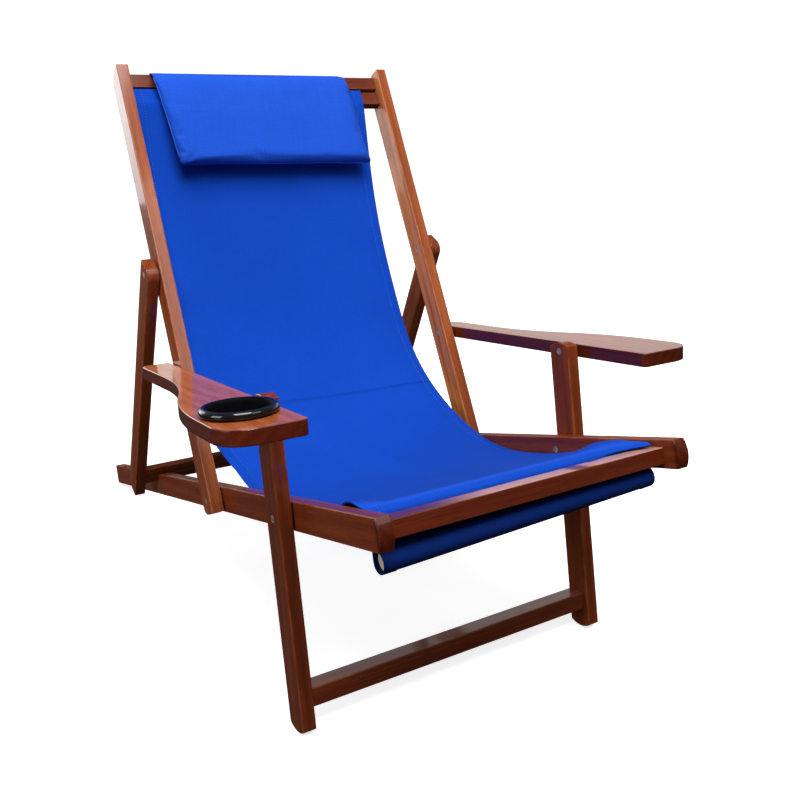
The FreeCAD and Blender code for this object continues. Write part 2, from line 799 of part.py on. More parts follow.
cup_hole_place = placement(cup_center - cup_axis * float(d.arm_thick) * 1.5, cup_x, cup_y)
cup_hole = cylinder("cup_hole", cup_outer + d.cup_clearance, d.arm_thick * 2, cup_hole_place)
keep("armrest_left", cut("armrest_left", mirrored("armrest_left_board", armrest_right), cup_hole))

rim_top = d.cup_rim_height
rim_roll = (d.cup_rim_radius - d.cup_inner_radius) / 4
cup = new_body("cup_holder")
cup_section = cup.newObject("Sketcher::SketchObject", "cup_section")
upright_plane = next(feature for feature in cup.Origin.OriginFeatures if feature.Role == "XZ_Plane")
cup_section.AttachmentSupport = [(upright_plane, "")]
cup_section.MapMode = "FlatFace"
draw_outline(cup_section, [
    (0, 0 - d.cup_depth - d.cup_wall), (cup_outer, 0 - d.cup_depth - d.cup_wall), (cup_outer, 0),
    (d.cup_rim_radius - rim_roll / 2, 0), (d.cup_rim_radius, rim_roll),
    (d.cup_rim_radius - rim_roll / 2, rim_top - rim_roll / 2),
    (d.cup_rim_radius - rim_roll * 2, rim_top - rim_roll / 2),
    (d.cup_inner_radius, 0), (d.cup_inner_radius, 0 - d.cup_depth), (0, 0 - d.cup_depth),
], {5: (rim_roll, True)})
cup_turn = cup.newObject("PartDesign::Revolution", "cup_turned")
cup_turn.Profile = cup_section
cup_turn.ReferenceAxis = (cup_section, ["V_Axis"])
cup_turn.Angle = 360
doc.recompute()
cup.Placement = cup_place
keep("cup_holder", cup)


# Pivot bolts, cap nuts and washers

def hex_socket(label, depth, x_start, point):
    """A six-sided recess, from a face along +X."""
    socket = doc.addObject("Part::Prism", label)
    socket.Polygon = 6
    socket.Circumradius = float(d.bolt_socket_radius)
    socket.setExpression("Circumradius", d.bolt_socket_radius.text)
    socket.Height = float(depth)
    socket.setExpression("Height", depth.text)
    socket.Placement = along_x(float(x_start), point)
    return socket


def pivot_bolts(label, x_head, x_end, point):
    """Socket-head bolts, one each side, whose heads sit at x_head and whose shanks end at x_end."""
    head = cylinder(label + "_head", d.bolt_head_radius, d.bolt_head_height, along_x(float(x_head), point))
    shank = cylinder(label + "_shank", d.bolt_radius, x_end - x_head, along_x(float(x_head), point))
    blank = doc.addObject("Part::MultiFuse", label + "_blank")
    blank.Shapes = [head, shank]
    blank.Refine = True
    socket = hex_socket(label + "_socket", d.bolt_socket_depth, x_head, point)
    right = cut(label + "_right", blank, socket)
    group(label, [right, mirrored(label + "_left", right)])


def cap_nuts(label, x_face, point):
    """Cap nuts flush with an outer face, threaded on the bolt's side and with a socket in the face."""
    x_start = x_face - d.bolt_head_height
    blank = cylinder(label + "_blank", d.bolt_head_radius, d.bolt_head_height, along_x(float(x_start), point))
    thread = cylinder(label + "_thread", bore, d.nut_socket_depth, along_x(float(x_start), point))
    bored = cut(label + "_bored", blank, thread)
    socket = hex_socket(label + "_socket", d.nut_drive_depth, x_face - d.nut_drive_depth, point)
    right = cut(label + "_right", bored, socket)
    group(label, [right, mirrored(label + "_left", right)])


def washers(label, x_start, points):
    rings = []
    for number, point in enumerate(points):
        disc = cylinder(f"{label}_disc_{number}", d.washer_radius, d.layer_gap - d.washer_play,
                        along_x(float(x_start), point))
        hole = cylinder(f"{label}_hole_{number}", bore, d.layer_gap, along_x(float(x_start), point))
        ring = cut(f"{label}_ring_{number}", disc, hole)
        rings += [ring, mirrored(f"{label}_ring_left_{number}", ring)]
    group(label, rings)


rail_outer = rail_inner + d.side_thick
upright_outer = upright_inner + d.side_thick
strut_outer = outer_inner + d.side_thick
nut_reach = d.bolt_head_height - d.nut_socket_depth

pivot_bolts("leg_pivot_bolts", rail_inner, upright_outer - nut_reach, leg_pivot)
cap_nuts("leg_pivot_nuts", upright_outer, leg_pivot)
pivot_bolts("back_pivot_bolts", rail_inner, upright_outer - nut_reach, back_pivot)
cap_nuts("back_pivot_nuts", upright_outer, back_pivot)
washers("rail_washers", rail_outer, [leg_pivot, back_pivot])

pivot_bolts("strut_pivot_bolts", upright_inner, strut_outer - nut_reach, strut_pivot)
cap_nuts("strut_pivot_nuts", strut_outer, strut_pivot)
pivot_bolts("arm_rear_bolts", upright_inner, outer_inner + d.insert_bolt_reach, arm_rear_pivot)
washers("upright_washers", upright_outer, [strut_pivot, arm_rear_pivot])
pivot_bolts("arm_front_bolts", upright_inner, upright_outer + d.layer_gap - d.washer_play, arm_front_pivot)
washers("leg_washers", upright_outer, [arm_front_pivot])


# Soft pieces: the sling and its flap follow a line of straight runs and tangent arcs

def rounded_path(points, radii):
    """Edges of a line through corner points, each inner corner rounded by a tangent arc."""
    spots = [Vector(0, *world(point)) for point in points]
    edges = []
    last = spots[0]
    for before, corner, after, radius in zip(spots, spots[1:], spots[2:], radii):
        back = (before - corner).normalize()
        ahead = (after - corner).normalize()
        half = back.getAngle(ahead) / 2
        reach = radius / math.tan(half)
        middle = (back + ahead).normalize() * (radius / math.sin(half) - radius)
        start = corner + back * reach
        end = corner + ahead * reach
        if (start - last).Length > 0.01:
            edges.append(Part.LineSegment(last, start).toShape())
        edges.append(Part.Arc(start, corner + middle, end).toShape())
        last = end
    edges.append(Part.LineSegment(last, spots[-1]).toShape())
    return edges


def cloth_strip(points, radii, width, x_middle=0.0):
    """A strip of cloth of even thickness along a path, made as two offset lines and their end caps."""
    half = float(d.cloth_thick) / 2
    sides = []
    for sign in (-1, 1):
        moved_points = []
        count = len(points)
        for index, point in enumerate(points):
            before = points[max(index - 1, 0)]
            after = points[min(index + 1, count - 1)]
            into = math.atan2(point[1] - before[1], point[0] - before[0]) if index else None
            out = math.atan2(after[1] - point[1], after[0] - point[0]) if index < count - 1 else None
            into = out if into is None else into
            out = into if out is None else out
            bend = (out - into + math.pi) % (2 * math.pi) - math.pi
            mean = into + bend / 2
            reach = sign * half / math.cos(bend / 2)
            moved_points.append((point[0] - math.sin(mean) * reach, point[1] + math.cos(mean) * reach))
        turns = []
        for before, corner, after in zip(points, points[1:], points[2:]):
            into = (corner[0] - before[0], corner[1] - before[1])
            out = (after[0] - corner[0], after[1] - corner[1])
            turns.append(1 if into[0] * out[1] - into[1] * out[0] > 0 else -1)
        moved_radii = [radius - sign * turn * half for radius, turn in zip(radii, turns)]
        sides.append(rounded_path(moved_points, moved_radii))
    first = sides[0][0].Vertexes[0].Point, sides[1][0].Vertexes[0].Point
    last = sides[0][-1].Vertexes[-1].Point, sides[1][-1].Vertexes[-1].Point
    caps = [Part.LineSegment(*first).toShape(), Part.LineSegment(*last).toShape()]
    wire = Part.Wire(Part.__sortEdges__(sides[0] + sides[1] + caps))
    face = Part.Face(wire)
    face.translate(Vector(x_middle - float(width) / 2, 0, 0))
    return face.extrude(Vector(float(width), 0, 0))


hem_inner = float(d.dowel_radius) + float(d.cloth_clearance)
hem_middle = hem_inner + float(d.cloth_thick) / 2
hem_outer = hem_inner + float(d.cloth_thick)
stand_off = float(d.cloth_clearance) + float(d.cloth_thick) / 2


def hem_line(center, middle, width, tilt):
    """The left end and the direction of a hem, tilted in the slope of the seat."""
    rise = turned((0, math.sin(math.radians(float(tilt)))), slope)
    direction = Vector(math.cos(math.radians(float(tilt))), *rise)
    return Vector(float(middle), *world(center)) - direction * (float(width) / 2), direction


def hem_tube(line, width):
    """The sewn tube at an end of the sling that holds its dowel."""
    outer = Part.makeCylinder(hem_outer, float(width), *line)
    return outer.cut(Part.makeCylinder(hem_inner, float(width), *line))


def hem_dowel(label, line, width):
    """The dowel in a hem, set in a little from both ends."""
    left_end, direction = line
    start = left_end + direction * float(d.dowel_inset)
    spot = FreeCAD.Placement(start, FreeCAD.Rotation(Vector(0, 0, 1), direction))
    keep(label, cylinder(label, d.dowel_radius, width - d.dowel_inset * 2, spot))


def soft_solid(label, shape):
    feature = doc.addObject("Part::Feature", label)
    feature.Shape = shape
    feature.Placement = FreeCAD.Placement()
    return keep(label, feature)


pivot_run = float(d.back_pivot_from_nose)
slot_run = float(front_bar_far) + float(d.sling_slot) / 2
ridge_height = float(d.rear_bar_rise) + float(d.seat_bar_height) / 2 + stand_off
front_hem = on_rail(slot_run - hem_middle, -float(d.front_hem_drop))
front_axis_up = float(d.upright_reach) - float(d.head_bar_from_top) - float(d.head_bar_height)
slot_up = front_axis_up - float(d.sling_slot) / 2
lower_edge_up = front_axis_up - float(d.sling_slot) - float(d.head_bar_height)
bar_face = float(d.head_bar_setback) - float(d.upright_depth) / 2 - stand_off
bar_back = float(d.head_bar_setback) - float(d.upright_depth) / 2 + float(d.head_bar_thick)
hem_behind = bar_back + float(d.cloth_clearance) + hem_outer
head_hem = on_back(slot_up - hem_middle, hem_behind)

sling_points = [
    on_rail(slot_run, -float(d.front_hem_drop)),
    on_rail(slot_run, ridge_height),
    on_rail(float(rear_bar_far) + stand_off, ridge_height),
    on_rail(pivot_run - float(d.sling_seat_front), -float(d.sling_seat_sag)),
    on_rail(pivot_run + float(d.sling_lumbar_rear), float(d.sling_lumbar_rise)),
    on_back(float(d.sling_back_height), float(d.sling_back_sag)),
    on_back(lower_edge_up, bar_face),
    on_back(slot_up, bar_face),
    on_back(slot_up, hem_behind),
]


def bend_radius(points, index, share_before, share_after):
    """The radius of a bend that takes up a share of the runs before and after its corner."""
    before, corner, after = points[index - 1:index + 2]
    run_before = math.dist(before, corner)
    run_after = math.dist(corner, after)
    heading_before = math.atan2(corner[1] - before[1], corner[0] - before[0])
    heading_after = math.atan2(after[1] - corner[1], after[0] - corner[0])
    bend = abs((heading_after - heading_before + math.pi) % (2 * math.pi) - math.pi)
    reach = min(float(share_before) * run_before, float(share_after) * run_after)
    return reach / math.tan(bend / 2)


sling_radii = [
    float(d.sling_edge_radius),
    float(d.sling_ridge_radius),
    bend_radius(sling_points, 3, d.sling_seat_bend_front, d.sling_seat_bend_rear),
    bend_radius(sling_points, 4, d.sling_lumbar_bend_front, d.sling_lumbar_bend_rear),
    bend_radius(sling_points, 5, d.sling_back_bend_low, d.sling_back_bend_high),
    float(d.sling_head_radius),
    float(d.sling_edge_radius),
]
sling_shape = cloth_strip(sling_points, sling_radii, d.sling_width, float(d.sling_shift))
front_hem_line = hem_line(front_hem, d.front_hem_shift, d.front_hem_width, d.front_hem_tilt)
head_hem_line = hem_line(head_hem, d.head_hem_shift, d.head_hem_width, 0)
hem_tubes = [hem_tube(front_hem_line, d.front_hem_width), hem_tube(head_hem_line, d.head_hem_width)]
sling_shape = sling_shape.fuse(hem_tubes).removeSplitter()
soft_solid("sling", sling_shape)

hem_dowel("front_hem_dowel", front_hem_line, d.front_hem_width)
hem_dowel("head_hem_dowel", head_hem_line, d.head_hem_width)


# The pillow is crowned in front, flatter behind, drawn in at its sides, and hangs askew

head_bar_top = float(d.upright_reach) - float(d.head_bar_from_top)
pillow_top = head_bar_top - float(d.pillow_drop)
pillow_back = bar_face - float(d.cloth_thick) / 2 - 2 * float(d.cloth_clearance)
pillow_lean = lean + float(d.pillow_tilt)
pillow_pivot = on_back(lower_edge_up, pillow_back)
pillow_rise = (pillow_top - lower_edge_up) / math.cos(math.radians(float(d.pillow_tilt)))


def on_pillow(down, front):
    """A point by its distance below the pillow's top and in front of its back."""
    return added(pillow_pivot, turned((pillow_rise - down, front), pillow_lean))


def pillow_section(share):
    """One closed section across the pillow, at a share of its half width from the middle."""
    x = float(d.pillow_shift) + share * float(d.pillow_width) / 2
    fullness = math.sqrt(max(1 - abs(share) ** 3.2, 0))
    draw = float(d.pillow_draw_in) * (1 - fullness)
    thick = float(d.pillow_edge_thick) + (float(d.pillow_thick) - float(d.pillow_edge_thick)) * fullness
    top = draw
    bottom = float(d.pillow_height) - draw
    middle = (top + bottom) / 2
    edge = float(d.pillow_edge_thick) * 0.6

    def spot(down, front):
        aside = float(d.pillow_skew) * (down / float(d.pillow_height) - 0.5)
        return Vector(x + aside, *world(on_pillow(down, front)))

    a, b, c = spot(bottom, 0), spot(bottom, edge), spot(middle, thick)
    e, f = spot(top, edge), spot(top, 0)
    return Part.Wire([Part.LineSegment(a, b).toShape(), Part.Arc(b, c, e).toShape(),
                      Part.LineSegment(e, f).toShape(), Part.LineSegment(f, a).toShape()])


pillow_shares = (-1.0, -0.94, -0.72, -0.36, 0.0, 0.36, 0.72, 0.94, 1.0)
soft_solid("head_pillow", Part.makeLoft([pillow_section(share) for share in pillow_shares], True, False))

# A flap sewn to the pillow's top edge hangs over the upper crossbar and down behind the sling's hem

flap_top = head_bar_top + stand_off
flap_behind_hem = on_back(slot_up, hem_behind + hem_outer + stand_off)
flap_points = [
    on_pillow(-stand_off, float(d.pillow_edge_thick) * 0.3),
    on_back(flap_top, bar_face),
    on_back(flap_top, bar_back + stand_off),
    flap_behind_hem,
    added(flap_behind_hem, (0, -float(d.flap_drop))),
]
flap_radii = [float(d.flap_bend_radius)] * (len(flap_points) - 2)
flap_middle = float(d.pillow_shift) - float(d.pillow_skew) / 2
soft_solid("pillow_flap", cloth_strip(flap_points, flap_radii, d.flap_width, flap_middle))


# Writing the parts

def check_document():
    for feature in doc.Objects:
        if "Invalid" in feature.State or "Error" in feature.State:
            raise RuntimeError(f"{feature.Label} failed: {feature.State}")
    for label, feature in made.items():
        if feature.Shape.isNull() or not feature.Shape.isValid():
            raise RuntimeError(f"{label} has no valid shape")


doc.recompute()
check_document()
os.makedirs("parts", exist_ok=True)
for label, feature in made.items():
    feature.Shape.exportStep(f"parts/{label}.step")
    print(f"{label}: {len(feature.Shape.Solids)} solids, {feature.Shape.Volume / 1000:.1f} cm3")
for name, point in (("leg pivot", leg_pivot), ("back pivot", back_pivot), ("arm rear pivot", arm_rear_pivot),
                    ("arm front pivot", arm_front_pivot), ("strut pivot", strut_pivot)):
    spot = world(point)
    print(f"{name}: y {spot[0]:.3f} z {spot[1]:.3f}")
print(f"cup center {cup_center} axis {cup_axis}")
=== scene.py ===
"""Folding sling chair: wood finishes, canvas sling, head pillow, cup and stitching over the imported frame."""
import json
import math

import bmesh
import bpy
import numpy as np
from mathutils import Euler, Matrix, Vector


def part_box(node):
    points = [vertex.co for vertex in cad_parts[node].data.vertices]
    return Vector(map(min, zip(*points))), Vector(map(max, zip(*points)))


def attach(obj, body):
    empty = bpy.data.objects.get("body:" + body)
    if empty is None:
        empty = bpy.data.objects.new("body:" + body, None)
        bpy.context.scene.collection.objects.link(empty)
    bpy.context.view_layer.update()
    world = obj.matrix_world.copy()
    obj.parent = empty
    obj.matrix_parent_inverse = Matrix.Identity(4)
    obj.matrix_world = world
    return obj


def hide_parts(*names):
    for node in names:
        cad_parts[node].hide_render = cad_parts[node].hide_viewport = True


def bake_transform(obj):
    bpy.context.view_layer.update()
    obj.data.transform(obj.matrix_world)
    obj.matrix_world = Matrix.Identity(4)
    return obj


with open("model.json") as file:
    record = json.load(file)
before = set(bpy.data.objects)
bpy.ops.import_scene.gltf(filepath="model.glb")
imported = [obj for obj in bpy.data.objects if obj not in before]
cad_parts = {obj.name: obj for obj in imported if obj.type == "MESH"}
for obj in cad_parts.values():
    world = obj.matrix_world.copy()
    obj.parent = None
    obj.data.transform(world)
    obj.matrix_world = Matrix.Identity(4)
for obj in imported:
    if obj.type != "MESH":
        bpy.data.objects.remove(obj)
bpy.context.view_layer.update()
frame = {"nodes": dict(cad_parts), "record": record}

record = frame["record"]
nodes = frame["nodes"]
scene = bpy.context.scene
MM = 0.001

# Directions of the frame's members in the side view, in degrees from +Y towards +Z
RAIL_SLOPE = -15.6
BACK_LEAN = 63.4
LEG_LEAN = 80.4
STRUT_LEAN = 115.7
ARM_LINE = 174.2
PILLOW_LEAN = BACK_LEAN + 8.0

pivots = {joint["name"]: joint["pos_m"] for joint in record["behaviour"]["joints"]}
mounts = {mount["name"]: mount for mount in record["mounts"]}
BACK_PIVOT = np.array(pivots["back_recline"][1:])


def turned(point, degrees):
    """A (y, z) pair turned about X."""
    c = math.cos(math.radians(degrees))
    s = math.sin(math.radians(degrees))
    return np.array([point[0] * c - point[1] * s, point[0] * s + point[1] * c])


def on_rail(ahead, above):
    """A (y, z) point by its millimetres ahead of the back pivot and above the rails' axis."""
    return BACK_PIVOT + turned((-ahead * MM, above * MM), RAIL_SLOPE)


def on_back(up, behind):
    """A (y, z) point by its millimetres up the back from its pivot and behind the uprights' axis."""
    return BACK_PIVOT + turned((up * MM, -behind * MM), BACK_LEAN)


def put(name, data):
    """A new object in the scene, at the origin."""
    piece = bpy.data.objects.new(name, data)
    scene.collection.objects.link(piece)
    return piece


def made_plain(piece):
    """The shape that a piece's modifiers or bevel give it, as a plain mesh."""
    bpy.context.view_layer.update()
    graph = bpy.context.evaluated_depsgraph_get()
    return bpy.data.meshes.new_from_object(piece.evaluated_get(graph))


def shade_smooth(mesh):
    mesh.polygons.foreach_set("use_smooth", [True] * len(mesh.polygons))


# Node trees

class Wire:
    """A node's output that takes part in Python arithmetic."""

    def __init__(self, tree, socket):
        self.tree = tree
        self.socket = socket

    def math(self, operation, *values):
        return self.tree.node("ShaderNodeMath", {"operation": operation}, dict(enumerate(values)))

    def __add__(self, other):
        return self.math("ADD", self, other)

    def __radd__(self, other):
        return self.math("ADD", other, self)

    def __sub__(self, other):
        return self.math("SUBTRACT", self, other)

    def __rsub__(self, other):
        return self.math("SUBTRACT", other, self)

    def __mul__(self, other):
        return self.math("MULTIPLY", self, other)

    def __rmul__(self, other):
        return self.math("MULTIPLY", other, self)

    def __truediv__(self, other):
        return self.math("DIVIDE", self, other)

    def __rtruediv__(self, other):
        return self.math("DIVIDE", other, self)

    def __abs__(self):
        return self.math("ABSOLUTE", self)

    def __floor__(self):
        return self.math("FLOOR", self)

    def sine(self):
        return self.math("SINE", self)

    def to_and_fro(self):
        """From 0 up to 1 and back, over and over."""
        return self.math("PINGPONG", self, 1.0)


class NodeTree:
    """A tree of shader nodes under construction."""

    def __init__(self, tree):
        self.tree = tree

    def plug(self, socket, value):
        if isinstance(value, Wire):
            self.tree.links.new(value.socket, socket)
        else:
            socket.default_value = value

    def node(self, kind, settings=None, sockets=None, out=0):
        """A node of any kind: its settings first, then its sockets' values or links."""
        node = self.tree.nodes.new(kind)
        for name, value in (settings or {}).items():
            if name == "stops":
                ramp = node.color_ramp
                while len(ramp.elements) < len(value):
                    ramp.elements.new(1.0)
                for element, (position, colour) in zip(ramp.elements, value):
                    element.position = position
                    element.color = (*colour, 1)
            else:
                setattr(node, name, value)
        for name, value in (sockets or {}).items():
            self.plug(node.inputs[name], value)
        return Wire(self, node.outputs[out])

    def axes(self, vector, names):
        """The named axes of a vector, each on its own."""
        split = self.node("ShaderNodeSeparateXYZ", {}, {0: vector}).socket.node
        return [Wire(self, split.outputs[name]) for name in names]

    def ramp(self, factor, stops):
        return self.node("ShaderNodeValToRGB", {"stops": stops}, {"Fac": factor})

    def grey_ramp(self, factor, levels):
        return self.ramp(factor, [(position, (level, level, level)) for position, level in levels])


class Finish(NodeTree):
    """A material under construction."""

    def __init__(self, name):
        self.material = bpy.data.materials.new(name)
        self.material.use_nodes = True
        super().__init__(self.material.node_tree)
        self.shader = self.tree.nodes["Principled BSDF"]

    def place(self, turn=(0, 0, 0), shift=(0, 0, 0)):
        """Object coordinates, turned and then shifted."""
        here = self.node("ShaderNodeTexCoord", out="Object")
        return self.node("ShaderNodeMapping", {}, {"Vector": here, "Location": shift, "Rotation": turn})

    def noise(self, vector, scale, detail=2.0, roughness=0.5):
        """Noise as fine as its scale to the metre: one number for every way, or one for each axis."""
        if isinstance(scale, tuple):
            vector = self.node("ShaderNodeVectorMath", {"operation": "MULTIPLY"}, {0: vector, 1: scale})
            scale = 1.0
        return self.node("ShaderNodeTexNoise", {}, {"Vector": vector, "Scale": scale, "Detail": detail,
                                                    "Roughness": roughness})

    def soft_step(self, value, low, high):
        return self.node("ShaderNodeMapRange", {"interpolation_type": "SMOOTHSTEP"},
                         {"Value": value, "From Min": low, "From Max": high})

    def mix(self, factor, first, second, blend="MIX"):
        return self.node("ShaderNodeMix", {"data_type": "RGBA", "blend_type": blend},
                         {0: factor, 6: first, 7: second}, out=2)

    def bump(self, height, strength, distance):
        return self.node("ShaderNodeBump", {},
                         {"Height": height, "Strength": strength, "Distance": distance})

    def surface(self, values):
        for name, value in values.items():
            self.plug(self.shader.inputs[name], value)
        return self.material


# Camera, floor and light

def place_camera():
    """The photograph's viewpoint, with its small offset of the picture's middle."""
    # Turned to the right, raised from straight down and tilted, in degrees
    heading, raised, tilt = -30.6439, 75.24, -0.7572
    turn = Matrix.Identity(4)
    for degrees, axis in ((heading, "Z"), (raised, "X"), (tilt, "Z")):
        turn = turn @ Matrix.Rotation(math.radians(degrees), 4, axis)
    lens = bpy.data.cameras.new("camera")
    lens.lens = 40.63
    lens.shift_x = 0.0049
    lens.shift_y = -0.0486
    camera = put("camera", lens)
    camera.matrix_world = Matrix.Translation((-0.6386, -1.3168, 0.7474)) @ turn
    scene.camera = camera


def stage_sheet(name, places, faces, near_glow):
    """A pale piece of the studio, white far from the chair, that throws no light back onto it."""
    mesh = bpy.data.meshes.new(name)
    mesh.from_pydata(places, [], faces)
    sheet = put(name, mesh)
    paper = Finish(f"{name}_paper")
    away = paper.node("ShaderNodeVectorMath", {"operation": "LENGTH"}, {0: paper.place()}, out="Value")
    mesh.materials.append(paper.surface({
        "Base Color": (0.93, 0.93, 0.93, 1),
        "Roughness": 0.9,
        "Specular IOR Level": 0.1,
        "Emission Color": paper.grey_ramp(away / 10.0, [(0.07, near_glow), (0.4, 1.0)]),
        "Emission Strength": 1.0,
    }))
    sheet.visible_diffuse = False
    sheet.visible_glossy = False
    sheet.visible_shadow = False


def build_studio():
    """A pale floor that runs out to a round white backdrop."""
    reach, low, high = 60.0, -0.0006, 45.0
    sides = 48
    turns = [2 * math.pi * k / sides for k in range(sides)]
    rim = [(reach * math.cos(turn), reach * math.sin(turn)) for turn in turns]
    stage_sheet("studio_floor", [(x, y, low) for x, y in rim], [tuple(range(sides))], 0.68)
    wall = [(x, y, z) for z in (low, high) for x, y in rim]
    bays = [(k, (k + 1) % sides, (k + 1) % sides + sides, k + sides) for k in range(sides)]
    stage_sheet("studio_backdrop", wall, bays, 1.0)


def softbox(name, place, aim, size, power):
    """A square soft light, facing the point it is aimed at."""
    lamp = bpy.data.lights.new(name, "AREA")
    lamp.shape = "SQUARE"
    lamp.size = size
    lamp.energy = power
    facing = (Vector(place) - Vector(aim)).to_track_quat("Z", "Y")
    put(name, lamp).matrix_world = Matrix.Translation(place) @ facing.to_matrix().to_4x4()


def light_studio():
    """A dim room with a bright wall behind the chair, a softbox overhead, weak fills and a rim light."""
    world = bpy.data.worlds.new("studio")
    world.use_nodes = True
    room = NodeTree(world.node_tree)
    towards = room.node("ShaderNodeTexCoord", out="Generated")
    height = room.node("ShaderNodeMapRange", {}, {"Value": room.axes(towards, "Z")[0], "From Min": -1.0})
    ahead = room.node("ShaderNodeVectorMath", {"operation": "DOT_PRODUCT"},
                      {0: towards, 1: (0.42, 0.91, 0.0)}, out="Value")
    dim = room.grey_ramp(height, [(0.0, 0.04), (0.5, 0.05), (0.56, 0.10), (0.66, 0.22), (1.0, 0.22)])
    wall_height = room.grey_ramp(height, [(0.48, 0.0), (0.51, 1.0), (0.60, 1.0), (0.68, 0.0)])
    wall_side = room.grey_ramp(ahead, [(0.25, 0.0), (0.75, 1.0)])
    room.plug(world.node_tree.nodes["Background"].inputs["Color"], dim + wall_height * wall_side)
    scene.world = world
    scene.view_settings.view_transform = "Standard"
    seat = (0, 0, 0.4)
    softbox("overhead_softbox", (-0.4, -1.35, 2.95), seat, 1.7, 110)
    softbox("high_fill", (0.9, -1.9, 2.3), seat, 1.2, 14)
    softbox("left_fill", (-2.4, -0.4, 1.0), seat, 1.2, 24)
    softbox("rim_softbox", (-1.15, 2.6, 1.15), (-0.2, 0.2, 0.7), 1.5, 20)


# Varnished wood

STAIN_DARK = (0.112, 0.0180, 0.0042)
STAIN_MIDDLE = (0.212, 0.0420, 0.0100)
STAIN_PALE = (0.330, 0.0830, 0.0220)
# The pale pink of the painted reflection streaks on the front crossbar's top
PAINTED_REFLECTION_PINK = (0.50, 0.26, 0.21, 1)

# How light the stain is, against the rest of the board: on the armrests' tops, partly wear from hands and
# partly painted sheen; on the uprights' inner faces, painted light; on pale edges, partly wear and partly
# painted highlight; at the ends, darker
RUBBED_AND_SHEEN_LIGHT = {"left": 3.9, "right": 2.8}
UPRIGHT_INNER_PAINTED_LIGHT = 1.85
ARRIS_LIGHT = 2.2
END_LIGHT = 0.45

# How strongly the pale edges show: partly wear, partly painted highlight
ARRIS_WEAR_AND_HIGHLIGHT = 0.34

# How deep in millimetres a paler face, a pale edge or a dark end begins, and where it is full
FACE_DEPTHS = (0.7, 0.1)
ARRIS_DEPTHS = (2.6, 0.7)
END_DEPTHS = (10.0, 3.0)

# The grain's fineness to the metre, across, along and through the member
RING_DRIFT = (11, 1.3, 11)
FIBRES = (460, 7, 460)
PORES = (1500, 40, 1500)
CLOUDS = (16, 2.6, 16)
RING_SPACING = 13 * MM

# The fineness of the painted reflection streaks, which run along X
REFLECTION_STREAKS = (26, 90, 90)


def stained(colour, light):
    """A stain's colour on lighter or darker wood: a darker board is also redder."""
    return [c * light ** power for c, power in zip(colour, (1.0, 1.5, 1.7))]


def on_face(wood, turn, level):
    """A mask of the face that lies level, and at this height, once the piece is turned."""
    height, = wood.axes(wood.place(turn), "Z")
    begin, full = FACE_DEPTHS
    return wood.soft_step(height, level - begin * MM, level - full * MM)


def near_sides(wood, node, turn, axis, depths):
    """A mask of a member's two sides along one axis of its turned box, between two depths."""
    square = np.array(Euler(turn).to_matrix())
    corners = np.array([vertex.co for vertex in nodes[node].data.vertices]) @ square.T
    places = corners[:, "XYZ".index(axis)]
    middle = float(places.max() + places.min()) / 2
    half = float(places.max() - places.min()) / 2
    along, = wood.axes(wood.place(turn), axis)
    begin, full = depths
    return wood.soft_step(abs(along - middle), half - begin * MM, half - full * MM)


def worn_and_highlit_arrises(wood, node, turn, section):
    """A patchy mask of a straight member's long edges, which lie near two sides of its section at once; the
    edges painted paler there are partly wear and partly painted highlight.
    """
    mask = wood.soft_step(wood.noise(wood.place(), 34.0, 3.0), 0.36, 0.60)
    for axis in section:
        mask = mask * near_sides(wood, node, turn, axis, ARRIS_DEPTHS)
    return mask


def reflection_streaks_along(wood):
    """Where painted reflection streaks lie on the front crossbar's top: left of its middle to its right end,
    with a gap.
    """
    x, = wood.axes(wood.place(), "X")
    gap = wood.soft_step(x, 58 * MM, 70 * MM) * (1 - wood.soft_step(x, 80 * MM, 92 * MM))
    streaks = wood.noise(wood.place(), REFLECTION_STREAKS, 2.0)
    return wood.soft_step(x, -145 * MM, -45 * MM) * (1 - gap * 0.85) * wood.soft_step(streaks, 0.22, 0.5)


